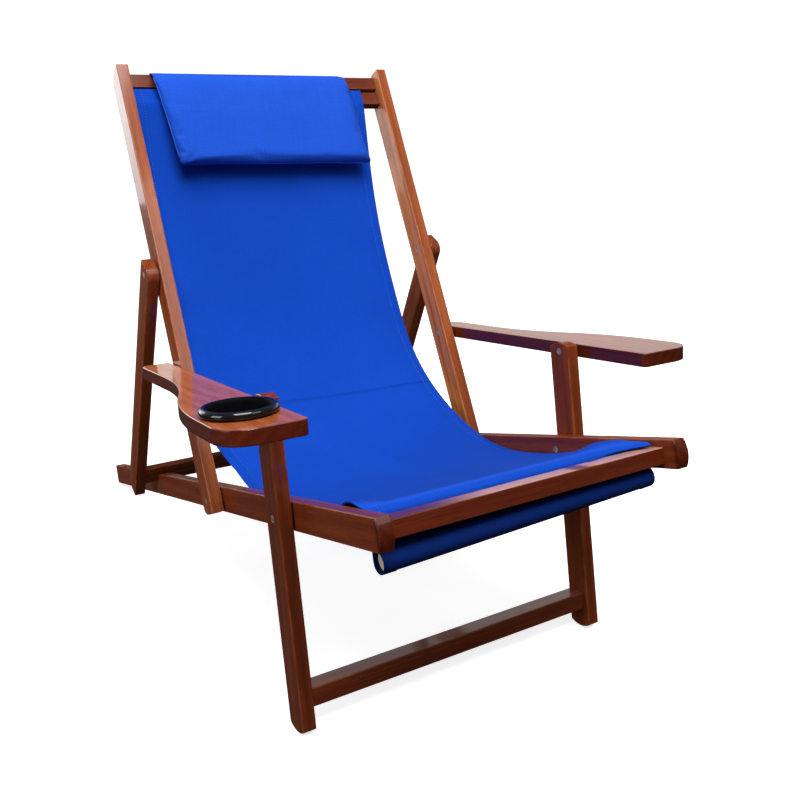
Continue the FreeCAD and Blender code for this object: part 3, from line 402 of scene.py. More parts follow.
def varnished_wood(name, turn, shift, light, gloss=0.6, rubbed_and_lit_face=None, hazed_face=None, arrises=None,
                   end_grain=None):
    """Red-brown stained hardwood under varnish, its grain along the member that is turned onto Y.

    A face painted paler is given as its turn, its level and how much paler it is: on the armrests' tops it is
    partly wear from hands and partly painted sheen, on the uprights' inner faces painted light. A face with
    painted reflection streaks is given as its turn and level. arrises gives the node, turn and section axes of
    a straight member whose long edges are painted paler, partly as wear and partly as painted highlight, and
    end_grain the node, turn and axis of one whose ends are darker."""
    wood = Finish(name)
    here = wood.place(turn, shift)
    x, z = wood.axes(here, "XZ")
    ring_place = x * 0.75 + z * 0.6 + wood.noise(here, RING_DRIFT, 3.0) * 0.045
    rings = (ring_place * (2 * math.pi / RING_SPACING)).sine() * 0.5 + 0.5
    fibres = wood.noise(here, FIBRES, 5.0, 0.62)
    pores = wood.soft_step(wood.noise(here, PORES, 1.0), 0.58, 0.70)
    clouds = wood.noise(here, CLOUDS, 3.0)
    tone = rings * 0.11 + fibres * 0.47 + clouds * 0.42

    def stain(depth):
        return wood.ramp(tone, [(0.30, stained(STAIN_DARK, depth)), (0.52, stained(STAIN_MIDDLE, depth)),
                                (0.78, stained(STAIN_PALE, depth))])

    colour = stain(light)
    if rubbed_and_lit_face is not None:
        face_turn, level, paler = rubbed_and_lit_face
        # A paler face: wear and painted sheen on the armrests' tops, painted light on the uprights' inner
        # faces
        colour = wood.mix(on_face(wood, face_turn, level), colour, stain(light * paler))
    if arrises is not None:
        # Pale long edges: partly wear, partly painted highlight
        colour = wood.mix(worn_and_highlit_arrises(wood, *arrises) * ARRIS_WEAR_AND_HIGHLIGHT, colour, stain(light * ARRIS_LIGHT))
    if end_grain is not None:
        colour = wood.mix(near_sides(wood, *end_grain, END_DEPTHS), colour, stain(light * END_LIGHT))
    # Painted reflection streaks, pale pink, on the front crossbar's top
    if hazed_face is not None:
        colour = wood.mix(on_face(wood, *hazed_face) * reflection_streaks_along(wood), colour, PAINTED_REFLECTION_PINK)
    pore_stain = [c * 0.4 for c in stained(STAIN_DARK, light)]
    return wood.surface({
        "Base Color": wood.mix(pores * 0.5, colour, (*pore_stain, 1)),
        "Roughness": 0.36 + fibres * 0.16 + pores * 0.1,
        "Specular IOR Level": 0.10,
        "Coat Weight": gloss,
        "Coat Roughness": 0.09,
        "Normal": wood.bump(fibres * 0.6 - pores * 0.5, 0.14, 0.5 * MM),
    })


# Canvas, thread, bare wood, steel and plastic

WARP = (900, 26, 26)
WEFT = (26, 900, 26)
THREAD_PITCH = 1.25 * MM


def weave(across, along):
    """The height of a plain weave: each thread goes over its neighbour and under the next."""
    over = (math.floor(across / THREAD_PITCH) + math.floor(along / THREAD_PITCH)).to_and_fro()
    bow_across = abs((across * (math.pi / THREAD_PITCH)).sine())
    bow_along = abs((along * (math.pi / THREAD_PITCH)).sine())
    return over * bow_across + (1 - over) * bow_along


def canvas(name, tint, turn=None, painted_shading=None, fold=None):
    """Dyed canvas in a plain weave, on the cloth's own map, or square to a piece whose turn is given.

    painted_shading gives how much the dye is darkened at places along the cloth, in metres from its end:
    painted shade and painted highlight. fold gives the place and the slant of the faint crease that folding
    the cloth has left; its line is also painted darker, as shade in the fold."""
    cloth = Finish(name)
    if turn is None:
        flat = cloth.node("ShaderNodeUVMap", {"uv_map": "cut"})
    else:
        flat = cloth.place(turn)
    across, along = cloth.axes(flat, "XY")
    threads = weave(across, along)
    warp = cloth.noise(flat, WARP, 2.0)
    weft = cloth.noise(flat, WEFT, 2.0)
    slubs = cloth.noise(flat, 420.0, 2.0)
    mottle = cloth.noise(flat, 7.0, 4.0)
    # The weave's height darkens its hollows a little, as painted shade; the yarns, slubs and mottle are the
    # dye's own unevenness
    depth = threads * 0.16 + warp * 0.26 + weft * 0.26 + slubs * 0.30 + mottle * 0.20
    deep = [c * 0.66 for c in tint]
    bright = [c * 1.32 for c in tint]
    dye = cloth.ramp(depth, [(0.30, deep), (0.60, tint), (0.90, bright)])
    if painted_shading:
        # The dye darkened along the cloth: painted shade and painted highlight
        length = painted_shading[-1][0]
        levels = cloth.grey_ramp(along / length, [(place / length, level) for place, level in painted_shading])
        dye = cloth.mix(1.0, dye, levels, "MULTIPLY")
    relief = threads * 0.8 + warp * 0.2
    if fold:
        place, slant = fold
        past = along - across * slant - place
        crease = cloth.soft_step(past, -7 * MM, 0) * (1 - cloth.soft_step(past, 0, 3 * MM))
        # The crease's line is painted darker, as shade in the fold, besides being sunk into the relief
        dye = cloth.mix(crease * 0.34, dye, (*[c * 0.3 for c in tint], 1))
        relief = relief - crease * 1.2
    return cloth.surface({
        "Base Color": dye,
        "Roughness": 0.78 + warp * 0.14,
        "Specular IOR Level": 0.08,
        "Sheen Weight": 0.02,
        "Sheen Roughness": 0.45,
        "Sheen Tint": (0.45, 0.62, 1.0, 1),
        "Normal": cloth.bump(relief, 0.35, 0.35 * MM),
    })


def sewing_thread(name, tint):
    """Twisted thread: the hollows between its raised strands are painted darker, as shade, and its raised
    strands are rubbed smoother.
    """
    thread = Finish(name)
    strands = thread.noise(thread.place(), 2800.0, 1.0)
    deep = [c * 0.7 for c in tint]
    pale = [c * 1.3 for c in tint]
    return thread.surface({
        "Base Color": thread.ramp(strands, [(0.32, deep), (0.68, pale)]),
        "Roughness": 0.65 - strands * 0.2,
        "Normal": thread.bump(strands, 0.2, 0.2 * MM),
    })


def bare_dowel(name):
    """Pale unvarnished wood with its fibres along X."""
    wood = Finish(name)
    fibres = wood.noise(wood.place(), (9, 520, 520), 3.0)
    return wood.surface({
        "Base Color": wood.ramp(fibres, [(0.3, (0.55, 0.40, 0.25)), (0.7, (0.80, 0.66, 0.47))]),
        "Roughness": 0.58 + fibres * 0.15,
        "Normal": wood.bump(fibres, 0.2, 0.4 * MM),
    })


def turned_steel(name, tint):
    """Plated steel with faint turning marks and a little tarnish."""
    steel = Finish(name)
    here = steel.place()
    marks = steel.noise(here, (60, 1900, 1900), 2.0)
    tarnish = steel.noise(here, 240.0, 3.0)
    dull = [c * 0.62 for c in tint]
    return steel.surface({
        "Base Color": steel.ramp(tarnish, [(0.35, dull), (0.62, tint)]),
        "Metallic": 0.8,
        "Roughness": 0.30 + marks * 0.2 + tarnish * 0.1,
        "Normal": steel.bump(marks, 0.08, 0.3 * MM),
    })


def moulded_nylon(name, tint):
    """Pale nylon with a fine moulded skin and light scuffs."""
    plastic = Finish(name)
    here = plastic.place()
    skin = plastic.noise(here, 900.0, 2.0)
    scuffs = plastic.noise(here, (130, 130, 30), 3.0)
    scuffed = [c * 1.35 + 0.002 for c in tint]
    return plastic.surface({
        "Base Color": plastic.ramp(scuffs, [(0.3, tint), (0.8, scuffed)]),
        "Roughness": 0.5 + scuffs * 0.1,
        "Coat Weight": 0.35,
        "Coat Roughness": 0.06,
        "Normal": plastic.bump(skin, 0.03, 0.3 * MM),
    })


def cup_plastic(name, axis, seat):
    """Black plastic, polished on the outer side of the cup's lip and dull inside the cup."""
    plastic = Finish(name)
    here = plastic.place()
    x, y, z = plastic.axes(here, "XYZ")
    height = (y - seat.y) * axis.y + (z - seat.z) * axis.z
    reach_squared = (x - seat.x) * (x - seat.x) + (y - seat.y) * (y - seat.y)
    outside = plastic.soft_step(reach_squared, (38.5 * MM) ** 2, (40.5 * MM) ** 2)
    lip = plastic.soft_step(height, 1 * MM, 4 * MM) * outside
    skin = plastic.noise(here, 700.0, 2.0)
    scuffs = plastic.noise(here, (130, 130, 30), 3.0)
    black, scuffed = (0.0012, 0.0011, 0.0016), (0.0026, 0.0024, 0.0034)
    return plastic.surface({
        "Base Color": plastic.ramp(scuffs, [(0.3, black), (0.8, scuffed)]),
        "Roughness": 0.62 - lip * 0.3 + scuffs * 0.1,
        "Specular IOR Level": 0.04,
        "Coat Weight": lip * 0.9,
        "Coat Roughness": 0.05,
        "Normal": plastic.bump(skin, 0.03, 0.3 * MM),
    })


# The CAD frame's finishes

# The turn that lays a crossbar along Y
ALONG_X = (0, 0, math.pi / 2)

# The front crossbar's top in millimetres above the rails' axis
FRONT_BAR_TOP = 9.0


def about_x(degrees):
    """The turn that lays a member of the side view along Y."""
    return (-math.radians(degrees), 0, 0)


def paint(node, material):
    mesh = nodes[node].data
    mesh.materials.clear()
    mesh.materials.append(material)


def side_wear_and_light(member, hand, turn):
    """Where a member at one side of the chair shows wear, painted light, painted highlight on its edges and
    darker ends.
    """
    node = f"{member}_{hand}"
    if member == "armrest":
        cup = mounts["cup_bore"]
        top = float(np.dot(cup["pos_m"], cup["axis"])) + cup["dims"]["length_mm"] / 2 * MM
        # The armrests' tops are painted paler: wear from hands together with painted sheen
        return {"rubbed_and_lit_face": (about_x(ARM_LINE - 180), top, RUBBED_AND_SHEEN_LIGHT[hand])}
    wear_and_light = {"arrises": (node, turn, "XZ")}
    if member == "back_upright":
        # The uprights' inner faces are painted paler: painted light, not wear from the sling
        low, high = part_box(node)
        inner_up, inner = (-math.pi / 2, high[0]) if hand == "left" else (math.pi / 2, -low[0])
        wear_and_light["rubbed_and_lit_face"] = ((0, inner_up, 0), inner, UPRIGHT_INNER_PAINTED_LIGHT)
    if member == "seat_rail":
        wear_and_light["end_grain"] = (node, turn, "Y")
    return wear_and_light


def finish_sides():
    """The members at the chair's sides: slope, and lightness and gloss of the left and the right one. Their
    lightness is partly the boards' own tone and partly painted light and shade: members and sides that face
    the light are stained paler, those in shade darker.
    """
    members = {
        "seat_rail": (RAIL_SLOPE, (0.84, 0.84), (0.4, 0.4)),
        "back_upright": (BACK_LEAN, (1.22, 1.36), (0.55, 0.35)),
        "front_leg": (LEG_LEAN, (0.68, 0.92), (0.8, 0.12)),
        "rear_strut": (STRUT_LEAN, (0.96, 1.0), (0.45, 0.45)),
        "armrest": (ARM_LINE, (0.40, 0.40), (0.7, 0.55)),
    }
    for number, (member, (slope, lights, glosses)) in enumerate(members.items()):
        turn = about_x(slope)
        for side, hand in enumerate(("left", "right")):
            # Each board shows another part of the grain
            shift = (0.37 * number + 0.053 * side, 0.61 * number + 0.29 * side, 0.23 * number + 0.017 * side)
            wood = varnished_wood(f"{member}_{hand}_varnish", turn, shift, lights[side], glosses[side],
                                  **side_wear_and_light(member, hand, turn))
            paint(f"{member}_{hand}", wood)


def finish_bars():
    """The crossbars: their lightness, partly their stain and partly painted shade and light (the front
    crossbar is darkened for the shade on its front face), and the slope of the members that they join.
    """
    bars = {
        "front_crossbar": (0.46, RAIL_SLOPE),
        "seat_crossbar": (0.66, RAIL_SLOPE),
        "head_crossbar_upper": (0.62, BACK_LEAN),
        "head_crossbar_lower": (0.62, BACK_LEAN),
        "front_stretcher": (0.80, LEG_LEAN),
        "strut_crossbar": (0.9, STRUT_LEAN),
    }
    front_top = float(turned(BACK_PIVOT, -RAIL_SLOPE)[1]) + FRONT_BAR_TOP * MM
    for number, (bar, (light, slope)) in enumerate(bars.items()):
        shift = (0.19 * number, 0.43 * number + 0.2, 0.031 * number)
        wear_and_light = {"arrises": (bar, about_x(slope), "YZ")}
        if bar == "front_crossbar":
            # Painted reflection streaks on its top
            wear_and_light["hazed_face"] = (about_x(RAIL_SLOPE), front_top)
        paint(bar, varnished_wood(f"{bar}_varnish", ALONG_X, shift, light, **wear_and_light))


def finish_fittings():
    """The dowels, tenon pins, bolts, nuts, inserts and washers."""
    dowel = bare_dowel("bare_dowel")
    for node in ("front_hem_dowel", "head_hem_dowel"):
        paint(node, dowel)
    paint("tenon_pins", varnished_wood("tenon_pin_varnish", ALONG_X, (0.5, 0.5, 0.5), 0.75))
    steel = turned_steel("plated_steel", (0.68, 0.54, 0.38))
    nylon = moulded_nylon("washer_nylon", (0.62, 0.59, 0.52))
    for node in nodes:
        if node.endswith(("bolts", "nuts")) or "inserts" in node:
            paint(node, steel)
        elif node.endswith("washers"):
            paint(node, nylon)


# Cloth strips: the sling and the pillow's flap

COLUMNS_BETWEEN_HEMS = 44


def bent_line(corners, radii, step=7 * MM, turn_step=9.0):
    """Points along straight runs joined by tangent arcs, close together where the line bends."""
    points = [np.array(corners[0])]

    def run_to(end):
        gap = np.linalg.norm(end - points[-1])
        count = max(int(gap / step), 1)
        start = points[-1]
        for k in range(1, count + 1):
            points.append(start + (end - start) * k / count)

    for before, corner, after, radius in zip(corners, corners[1:], corners[2:], radii):
        into = (corner - before) / np.linalg.norm(corner - before)
        out = (after - corner) / np.linalg.norm(after - corner)
        bend = math.atan2(into[0] * out[1] - into[1] * out[0], float(into @ out))
        reach = radius * math.tan(abs(bend) / 2)
        start = corner - into * reach
        if np.linalg.norm(start - points[-1]) > 0.2 * MM:
            run_to(start)
        side = math.copysign(1.0, bend)
        center = start + side * radius * np.array([-into[1], into[0]])
        count = max(int(abs(math.degrees(bend)) / turn_step), int(radius * abs(bend) / step), 2)
        for k in range(1, count + 1):
            points.append(center + turned(start - center, math.degrees(bend) * k / count))
    run_to(corners[-1])
    return np.array(points)


def around(center, radius, first, last, step=10.0):
    """Points round a dowel, by angles in the side view."""
    count = max(int(abs(last - first) / step), 2)
    angles = np.radians(np.linspace(first, last, count + 1))
    return np.stack([center[0] + radius * np.cos(angles), center[1] + radius * np.sin(angles)], 1)


def line_frame(line):
    """Distances along a line and its left-hand normals."""
    runs = np.linalg.norm(np.diff(line, axis=0), axis=1)
    along = np.concatenate([[0], np.cumsum(runs)])
    tangent = np.gradient(line, along, axis=0)
    tangent /= np.linalg.norm(tangent, axis=1)[:, None]
    return along, np.stack([-tangent[:, 1], tangent[:, 0]], 1)


def cloth_columns(width, hem):
    """Places across a strip, closer together at its sewn side hems."""
    half = width / 2
    by_stitching = [hem - 3 * MM, hem - 1.2 * MM, hem, hem + 1.5 * MM, hem + 6 * MM]
    edge = np.array([0.0, 0.8 * MM, 3 * MM, 8 * MM] + by_stitching)
    inner = half - hem - 14 * MM
    middle = np.linspace(-inner, inner, COLUMNS_BETWEEN_HEMS)
    return np.concatenate([-half + edge, middle, (half - edge)[::-1]])


def strip_faces(rows, columns):
    """The faces of a strip's skin: bands round its section from row to row, and a closed end at each hem."""
    faces = []
    for row in range(rows - 1):
        for column in range(columns):
            following = (column + 1) % columns
            faces.append((row * columns + column, row * columns + following,
                          (row + 1) * columns + following, (row + 1) * columns + column))
    for row in (0, rows - 1):
        base = row * columns
        for column in range(columns // 2 - 1):
            facing = base + columns - 1 - column
            quad = (base + column, base + column + 1, facing - 1, facing)
            faces.append(quad if row else quad[::-1])
    return faces


def point_outwards(mesh, merge=None):
    """Turns a mesh's faces outwards, after points that lie closer than a distance are merged."""
    shell = bmesh.new()
    shell.from_mesh(mesh)
    if merge is not None:
        bmesh.ops.remove_doubles(shell, verts=shell.verts, dist=merge)
    bmesh.ops.recalc_face_normals(shell, faces=shell.faces)
    shell.to_mesh(mesh)
    shell.free()


def cloth_strip(name, line, width, drape, thick, hem, hem_thick, material):
    """A strip of cloth along a line, as a closed skin with a folded hem on the back of each side."""
    along, _ = line_frame(line)
    across = cloth_columns(width, hem)
    inside = width / 2 - np.abs(across)
    fold = hem_thick * (1 - np.clip((inside - hem + 1.2 * MM) / (1.8 * MM), 0, 1))
    rounding = 0.35 + 0.65 * np.clip(inside / (0.8 * MM), 0, 1)
    front = thick / 2 * rounding
    back = -(thick / 2 + fold) * rounding
    section_x = np.concatenate([across, across[::-1]])
    section_n = np.concatenate([front, back[::-1]])
    rows, columns = len(line), len(section_x)
    places = drape.places(line, section_x, section_n)
    mesh = bpy.data.meshes.new(name)
    mesh.from_pydata(places.reshape(-1, 3).tolist(), [], strip_faces(rows, columns))
    cut = mesh.uv_layers.new(name="cut")
    flat = np.empty((rows, columns, 2))
    flat[:, :, 0] = section_x[None, :] + width / 2
    flat[:, :, 1] = along[:, None]
    corners = np.empty(len(mesh.loops), int)
    mesh.loops.foreach_get("vertex_index", corners)
    cut.data.foreach_set("uv", flat.reshape(-1, 2)[corners].ravel())
    shade_smooth(mesh)
    point_outwards(mesh)
    mesh.materials.append(material)
    return put(name, mesh), float(along[-1])


class Drape:
    """How a strip of cloth lies across its width: straight, even and flat where no kind of drape differs."""

    def middle(self, s):
        """Where the middle of the cloth lies across the chair."""
        return np.zeros(len(s))

    def squeeze(self, s):
        """How much of its full width the cloth keeps."""
        return np.ones(len(s))

    def flat(self, s, x):
        return np.zeros(np.broadcast(s, x).shape)

    climb = ripple = lean = flat

    def places(self, line, across, proud):
        """Places on the strip: one row for each point of its line, one column for each place across it."""
        along, normal = line_frame(line)
        s = along[:, None]
        x = self.middle(along)[:, None] + across[None, :] * self.squeeze(along)[:, None]
        offset = proud[None, :] + self.ripple(s, across[None, :])
        shift = turned((-1, 0), RAIL_SLOPE)[:, None, None] * self.lean(s, x)
        shift = shift + turned((0, 1), RAIL_SLOPE)[:, None, None] * self.climb(s, x)
        y = line[:, 0, None] + normal[:, 0, None] * offset + shift[0]
        z = line[:, 1, None] + normal[:, 1, None] * offset + shift[1]
        return np.stack([x, y, z], 2)


# Stitching, laid along seam lines with geometry nodes

def stitch_tree():
    """A tree that lays short rounded stitches along the edges of a seam line, flat on the cloth."""
    tree = bpy.data.node_groups.new("lay_stitches", "GeometryNodeTree")
    face = tree.interface
    face.new_socket("Seam", in_out="INPUT", socket_type="NodeSocketGeometry")
    for label, start in (("Spacing", 4.6 * MM), ("Length", 3.4 * MM), ("Thread", 0.8 * MM)):
        face.new_socket(label, in_out="INPUT", socket_type="NodeSocketFloat").default_value = start
    face.new_socket("Colour", in_out="INPUT", socket_type="NodeSocketMaterial")
    face.new_socket("Stitches", in_out="OUTPUT", socket_type="NodeSocketGeometry")
    made = {}

    def add(name, kind, links=(), values=None, **settings):
        node = tree.nodes.new(kind)
        for key, value in settings.items():
            setattr(node, key, value)
        for socket, value in (values or {}).items():
            node.inputs[socket].default_value = value
        for source, output, target in links:
            tree.links.new(made[source].outputs[output], node.inputs[target])
        made[name] = node

    add("in", "NodeGroupInput")
    add("curve", "GeometryNodeMeshToCurve", [("in", "Seam", "Mesh")])
    add("resample", "GeometryNodeResampleCurve", [("curve", 0, "Curve"), ("in", "Spacing", "Length")],
        mode="LENGTH")
    add("bead", "GeometryNodeMeshUVSphere", values={"Segments": 8, "Rings": 5, "Radius": 0.5})
    add("size", "ShaderNodeCombineXYZ",
        [("in", "Length", "X"), ("in", "Thread", "Y"), ("in", "Thread", "Z")])
    add("tangent", "GeometryNodeInputTangent")
    add("lie", "GeometryNodeInputNamedAttribute", values={"Name": "lie"}, data_type="FLOAT_VECTOR")
    add("face_up", "FunctionNodeAlignRotationToVector", [("lie", 0, "Vector")], axis="Z")
    add("run", "FunctionNodeAlignRotationToVector", [("face_up", 0, "Rotation"), ("tangent", 0, "Vector")],
        axis="X", pivot_axis="Z")
    add("sew", "GeometryNodeInstanceOnPoints",
        [("resample", 0, "Points"), ("bead", 0, "Instance"), ("run", 0, "Rotation"), ("size", 0, "Scale")])
    add("real", "GeometryNodeRealizeInstances", [("sew", 0, "Geometry")])
    add("dye", "GeometryNodeSetMaterial", [("real", 0, "Geometry"), ("in", "Colour", "Material")])
    add("out", "NodeGroupOutput", [("dye", 0, "Stitches")])
    return tree


def sew(name, seams, tree, thread):
    """One mesh of stitches along seams, each a list of places and the cloth's normals there."""
    guide = bpy.data.meshes.new(name + "_guide")
    places, edges, lies = [], [], []
    for line, normals in seams:
        base = len(places)
        places += [tuple(place) for place in line]
        lies += [tuple(normal) for normal in normals]
        edges += [(base + k, base + k + 1) for k in range(len(line) - 1)]
    guide.from_pydata(places, edges, [])
    lie = guide.attributes.new("lie", "FLOAT_VECTOR", "POINT")
    lie.data.foreach_set("vector", np.array(lies, np.float32).ravel())
    seam_guide = put(name + "_guide", guide)
    modifier = seam_guide.modifiers.new("stitches", "NODES")
    modifier.node_group = tree
    for item in tree.interface.items_tree:
        if item.in_out == "INPUT" and item.name == "Colour":
            modifier[item.identifier] = thread
    mesh = made_plain(seam_guide)
    bpy.data.objects.remove(seam_guide)
    mesh.name = name
    shade_smooth(mesh)
    return put(name, mesh)


def lengthwise_seam(line, across, drape, proud, ends):
    """A seam along a strip at one place across it, proud of the cloth, without these points at its ends."""
    _, normal = line_frame(line)
    places = drape.places(line, np.array([across]), np.array([proud]))[:, 0]
    side = math.copysign(1.0, proud)
    lies = np.stack([np.zeros(len(line)), normal[:, 0] * side, normal[:, 1] * side], 1)
    return places[ends:-ends], lies[ends:-ends]


# The sling hangs from the head slot to the seat slot and is sewn round a dowel at each end

CLOTH = 1.2 * MM
SLING_WIDTH = 420 * MM
SIDE_HEM = 19 * MM
SIDE_HEM_THICK = 0.8 * MM
SLING_BLUE = (0.0042, 0.067, 0.535)
THREAD_BLUE = (0.010, 0.075, 0.52)
HEM_TILT = math.tan(math.radians(1.7))
FOLD_PAST_LUMBAR = 74.8 * MM
FOLD_SLANT = -0.027

# The slots, the bend over the lower head crossbar and the hem tubes, as on_rail and on_back take them
SLOT_AHEAD = 448.15
SLOT_UP = 671.25
HEAD_BEND_UP = 644.5
HEAD_HEM_BEHIND = 29.3
HEM_TURN = 12.4
FRONT_HEM = on_rail(SLOT_AHEAD + HEM_TURN, -32.5)
HEAD_HEM = on_back(SLOT_UP - HEM_TURN, HEAD_HEM_BEHIND)

# Points of the sling's line in the hem tube at each end, and in the first half of the front one
HEM_POINTS = 34
HALF_HEM_POINTS = 20


def sling_line():
    """The sling's side view, from its front hem over the seat crossbar and up the back to the head slot."""
    wrap = around(FRONT_HEM, HEM_TURN * MM, 180 + RAIL_SLOPE - 130, 180 + RAIL_SLOPE + 180)
    tail = [on_rail(SLOT_AHEAD + 1.5, -9), on_rail(SLOT_AHEAD + 1.6, -15)]
    body = [
        wrap[-1],
        on_rail(SLOT_AHEAD, 16.6),
        on_rail(410.5, 15.8),
        on_rail(295, -11),
        on_rail(-57, 11),
        on_back(437, 64),
        on_back(HEAD_BEND_UP, -5.1),
        on_back(SLOT_UP, -4.9),
        on_back(SLOT_UP, HEAD_HEM_BEHIND),
    ]
    bends = [8 * MM, 60 * MM, 640 * MM, 325 * MM, 860 * MM, 12 * MM, 2.6 * MM]
    seat_and_back = bent_line(body, bends)
    head_wrap = around(HEAD_HEM, HEM_TURN * MM, BACK_LEAN, BACK_LEAN - 310)
    head_tail = [on_back(SLOT_UP - 1.5, 16), on_back(SLOT_UP - 1.5, 9)]
    return np.concatenate([tail, wrap[:-1], seat_and_back, head_wrap[1:], head_tail])


def hump(away, width):
    """A smooth hump: full where the distance is nothing, and all but gone at twice its width."""
    return np.exp(-(away / width) ** 2)


class SlingDrape(Drape):
    """The sling: drawn in between the rails, slid left at the head, its front hem askew, a little slack."""

    # The cloth's middle at its front hem, the ridge, the end of the seat, the start of the back and the head
    MIDDLES = [-6.5 * MM, -0.8 * MM, -0.6 * MM, -6 * MM, -17.5 * MM]
    DRAWN_WIDTH = SLING_WIDTH - 9 * MM
    HEM_WIDTH = 403 * MM

    # Heights of the folds in millimetres
    CURLED_SIDES = -3.0
    TURNED_UP_SIDES = 2.0
    CREASE_BEHIND_ROLL = -5.5
    BUNCHED_ROLL = 6.5
    LEFT_ARCH = 8.0
    ROUNDED_END = -4.0
    ROLL_LEAN = 22

    def __init__(self, line):
        self.along, _ = line_frame(line)
        self.hem_end = self.station(line, on_rail(SLOT_AHEAD, -31.5), HALF_HEM_POINTS)
        self.slot = self.station(line, on_rail(SLOT_AHEAD, 9))
        self.ridge = self.station(line, on_rail(430, 17))
        self.start = self.station(line, on_rail(405, 14))
        self.lumbar = self.station(line, on_rail(-40, 20))
        self.end = self.station(line, on_back(640, -4))
        self.stations = [self.hem_end - 10 * MM, self.ridge, self.lumbar - 50 * MM, self.lumbar + 30 * MM]

    def station(self, line, point, first=0):
        """How far along the line it passes nearest to a point, from its first point that counts."""
        nearest = np.argmin(np.linalg.norm(line[first:] - point, axis=1)) + first
        return float(self.along[nearest])

    def middle(self, s):
        return np.interp(s, self.stations + [self.end], self.MIDDLES)

    def squeeze(self, s):
        drawn = self.DRAWN_WIDTH / SLING_WIDTH
        return np.interp(s, self.stations, [self.HEM_WIDTH / SLING_WIDTH, drawn, drawn, 1.0])

    def climb(self, s, x):
        """How far the front hem is drawn up its slot, more on the right than on the left."""
        in_slot = np.interp(s, [self.hem_end - 5 * MM, self.ridge - 12 * MM], [1, 0])
        return (x - self.MIDDLES[0]) * HEM_TILT * in_slot

    def ripple(self, s, x):
        """How far the cloth stands off its line: slack waves, curled sides and folds at its front roll."""
        share = np.clip((s - self.start) / (self.end - self.start), 0, 1)
        free = np.sin(math.pi * share) ** 0.6
        waves = 1.3 * np.sin(x * 31 + 13 * share) * np.sin(share * 9.0 + 0.6)
        waves = waves + 1.0 * np.sin(x * 17 - share * 11 + 1.3) + 0.6 * np.sin(x * 53 + share * 23)
        edge = np.clip((np.abs(x) - 168 * MM) / (42 * MM), 0, 1) ** 2
        past = s - self.start
        left_end = hump(x + 207 * MM, 28 * MM)
        bunched = hump(x - 172 * MM, 30 * MM)
        right_end = np.clip((x - 200 * MM) / (10 * MM), 0, 1) ** 2
        folds = self.CURLED_SIDES * edge * np.sin(share * 3.3 + 0.4) * free
        folds = folds + self.TURNED_UP_SIDES * edge * hump(past - 20 * MM, 110 * MM)
        folds = folds + self.CREASE_BEHIND_ROLL * (1 - left_end) * hump(past - 30 * MM, 12 * MM)
        folds = folds + self.BUNCHED_ROLL * bunched * hump(past - 2 * MM, 20 * MM)
        folds = folds + self.LEFT_ARCH * left_end * hump(past - 6 * MM, 28 * MM)
        folds = folds + self.ROUNDED_END * right_end * hump(s - self.ridge, 30 * MM)
        return (waves * free + folds) * MM

    def lean(self, s, x):
        """How far the bunched right end of the front roll leans out over the front crossbar."""
        past_slot = np.clip((s - self.slot) / (3 * MM), 0, 1)
        fading_back = hump(np.maximum(s - self.slot - 10 * MM, 0), 20 * MM)
        right = np.clip((x - 120 * MM) / (80 * MM), 0, 1) ** 2
        return right * self.ROLL_LEAN * MM * past_slot * fading_back


def make_sling():
    line = sling_line()
    drape = SlingDrape(line)
    # Painted shade and highlight along the sling: the front hem tube darkest as in the front crossbar's shade,
    # a bright band on the front roll as a highlight, painted shade just behind it, paler up the back, and the
    # head hem tube darker again
    painted_shading = [
        (0, 0.21),
        (drape.hem_end, 0.21),
        (drape.hem_end + 20 * MM, 0.7),
        (drape.ridge - 12 * MM, 0.72),
        (drape.ridge - 3 * MM, 0.98),
        (drape.ridge + 5 * MM, 0.98),
        (drape.ridge + 16 * MM, 0.60),
        (drape.ridge + 120 * MM, 0.68),
        (drape.lumbar, 0.74),
        (drape.end, 0.78),
        (float(drape.along[-1]), 0.6),
    ]
    fold = (drape.lumbar + FOLD_PAST_LUMBAR, FOLD_SLANT)
    blue = canvas("sling_canvas", SLING_BLUE, painted_shading=painted_shading, fold=fold)
    sling, length = cloth_strip("sling_cloth", line, SLING_WIDTH, drape, CLOTH, SIDE_HEM, SIDE_HEM_THICK,
                                blue)
    thread = sewing_thread("blue_thread", THREAD_BLUE)
    seams = []
    inner = SLING_WIDTH / 2 - SIDE_HEM + 3 * MM
    proud = CLOTH / 2 + 0.05 * MM
    for across in (-inner, inner):
        for lift in (proud, -proud - SIDE_HEM_THICK):
            seams.append(lengthwise_seam(line, across, drape, lift, HEM_POINTS))
    stitches = sew("sling_stitches", seams, stitch_tree(), thread)
    start = (0, *on_rail(350, 0))
    end = (0, *on_back(520, 40))
    for piece in (sling, stitches):
        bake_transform(piece)
    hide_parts("sling")


# The head pillow: a flat stuffed pad whose cover runs on over the upper crossbar

PILLOW_TOP_WIDTH = 365 * MM
PILLOW_LOW_WIDTH = 364 * MM
PILLOW_HEIGHT = 175 * MM
PILLOW_TOP = on_back(HEAD_BEND_UP, -6.7) + turned((57 * MM, 0), PILLOW_LEAN)
PILLOW_TOP_MIDDLE = -19 * MM
PILLOW_LOW_MIDDLE = 4 * MM
PILLOW_BLUE = (0.0115, 0.072, 0.50)
# The edge seam's paler blue: a painted highlight along the pillow's edges
SEAM_HIGHLIGHT_BLUE = (0.035, 0.13, 0.66)
FLAP_WIDTH = 344 * MM
FLAP_CLOTH = 1.0 * MM
FLAP_HEM = 12 * MM
FLAP_HEM_THICK = 0.3 * MM
FLAP_HANG = 85 * MM

# The upper head crossbar's top edge in millimetres up the back
UPPER_BAR_TOP = 699.1

# How much of the pad's thickness lies in front of its seam
FRONT_SHARE = 0.62


def on_pillow(down, front):
    """A (y, z) point by its distance below the pillow's top and in front of its back, in metres."""
    return PILLOW_TOP + turned((-down, front), PILLOW_LEAN)


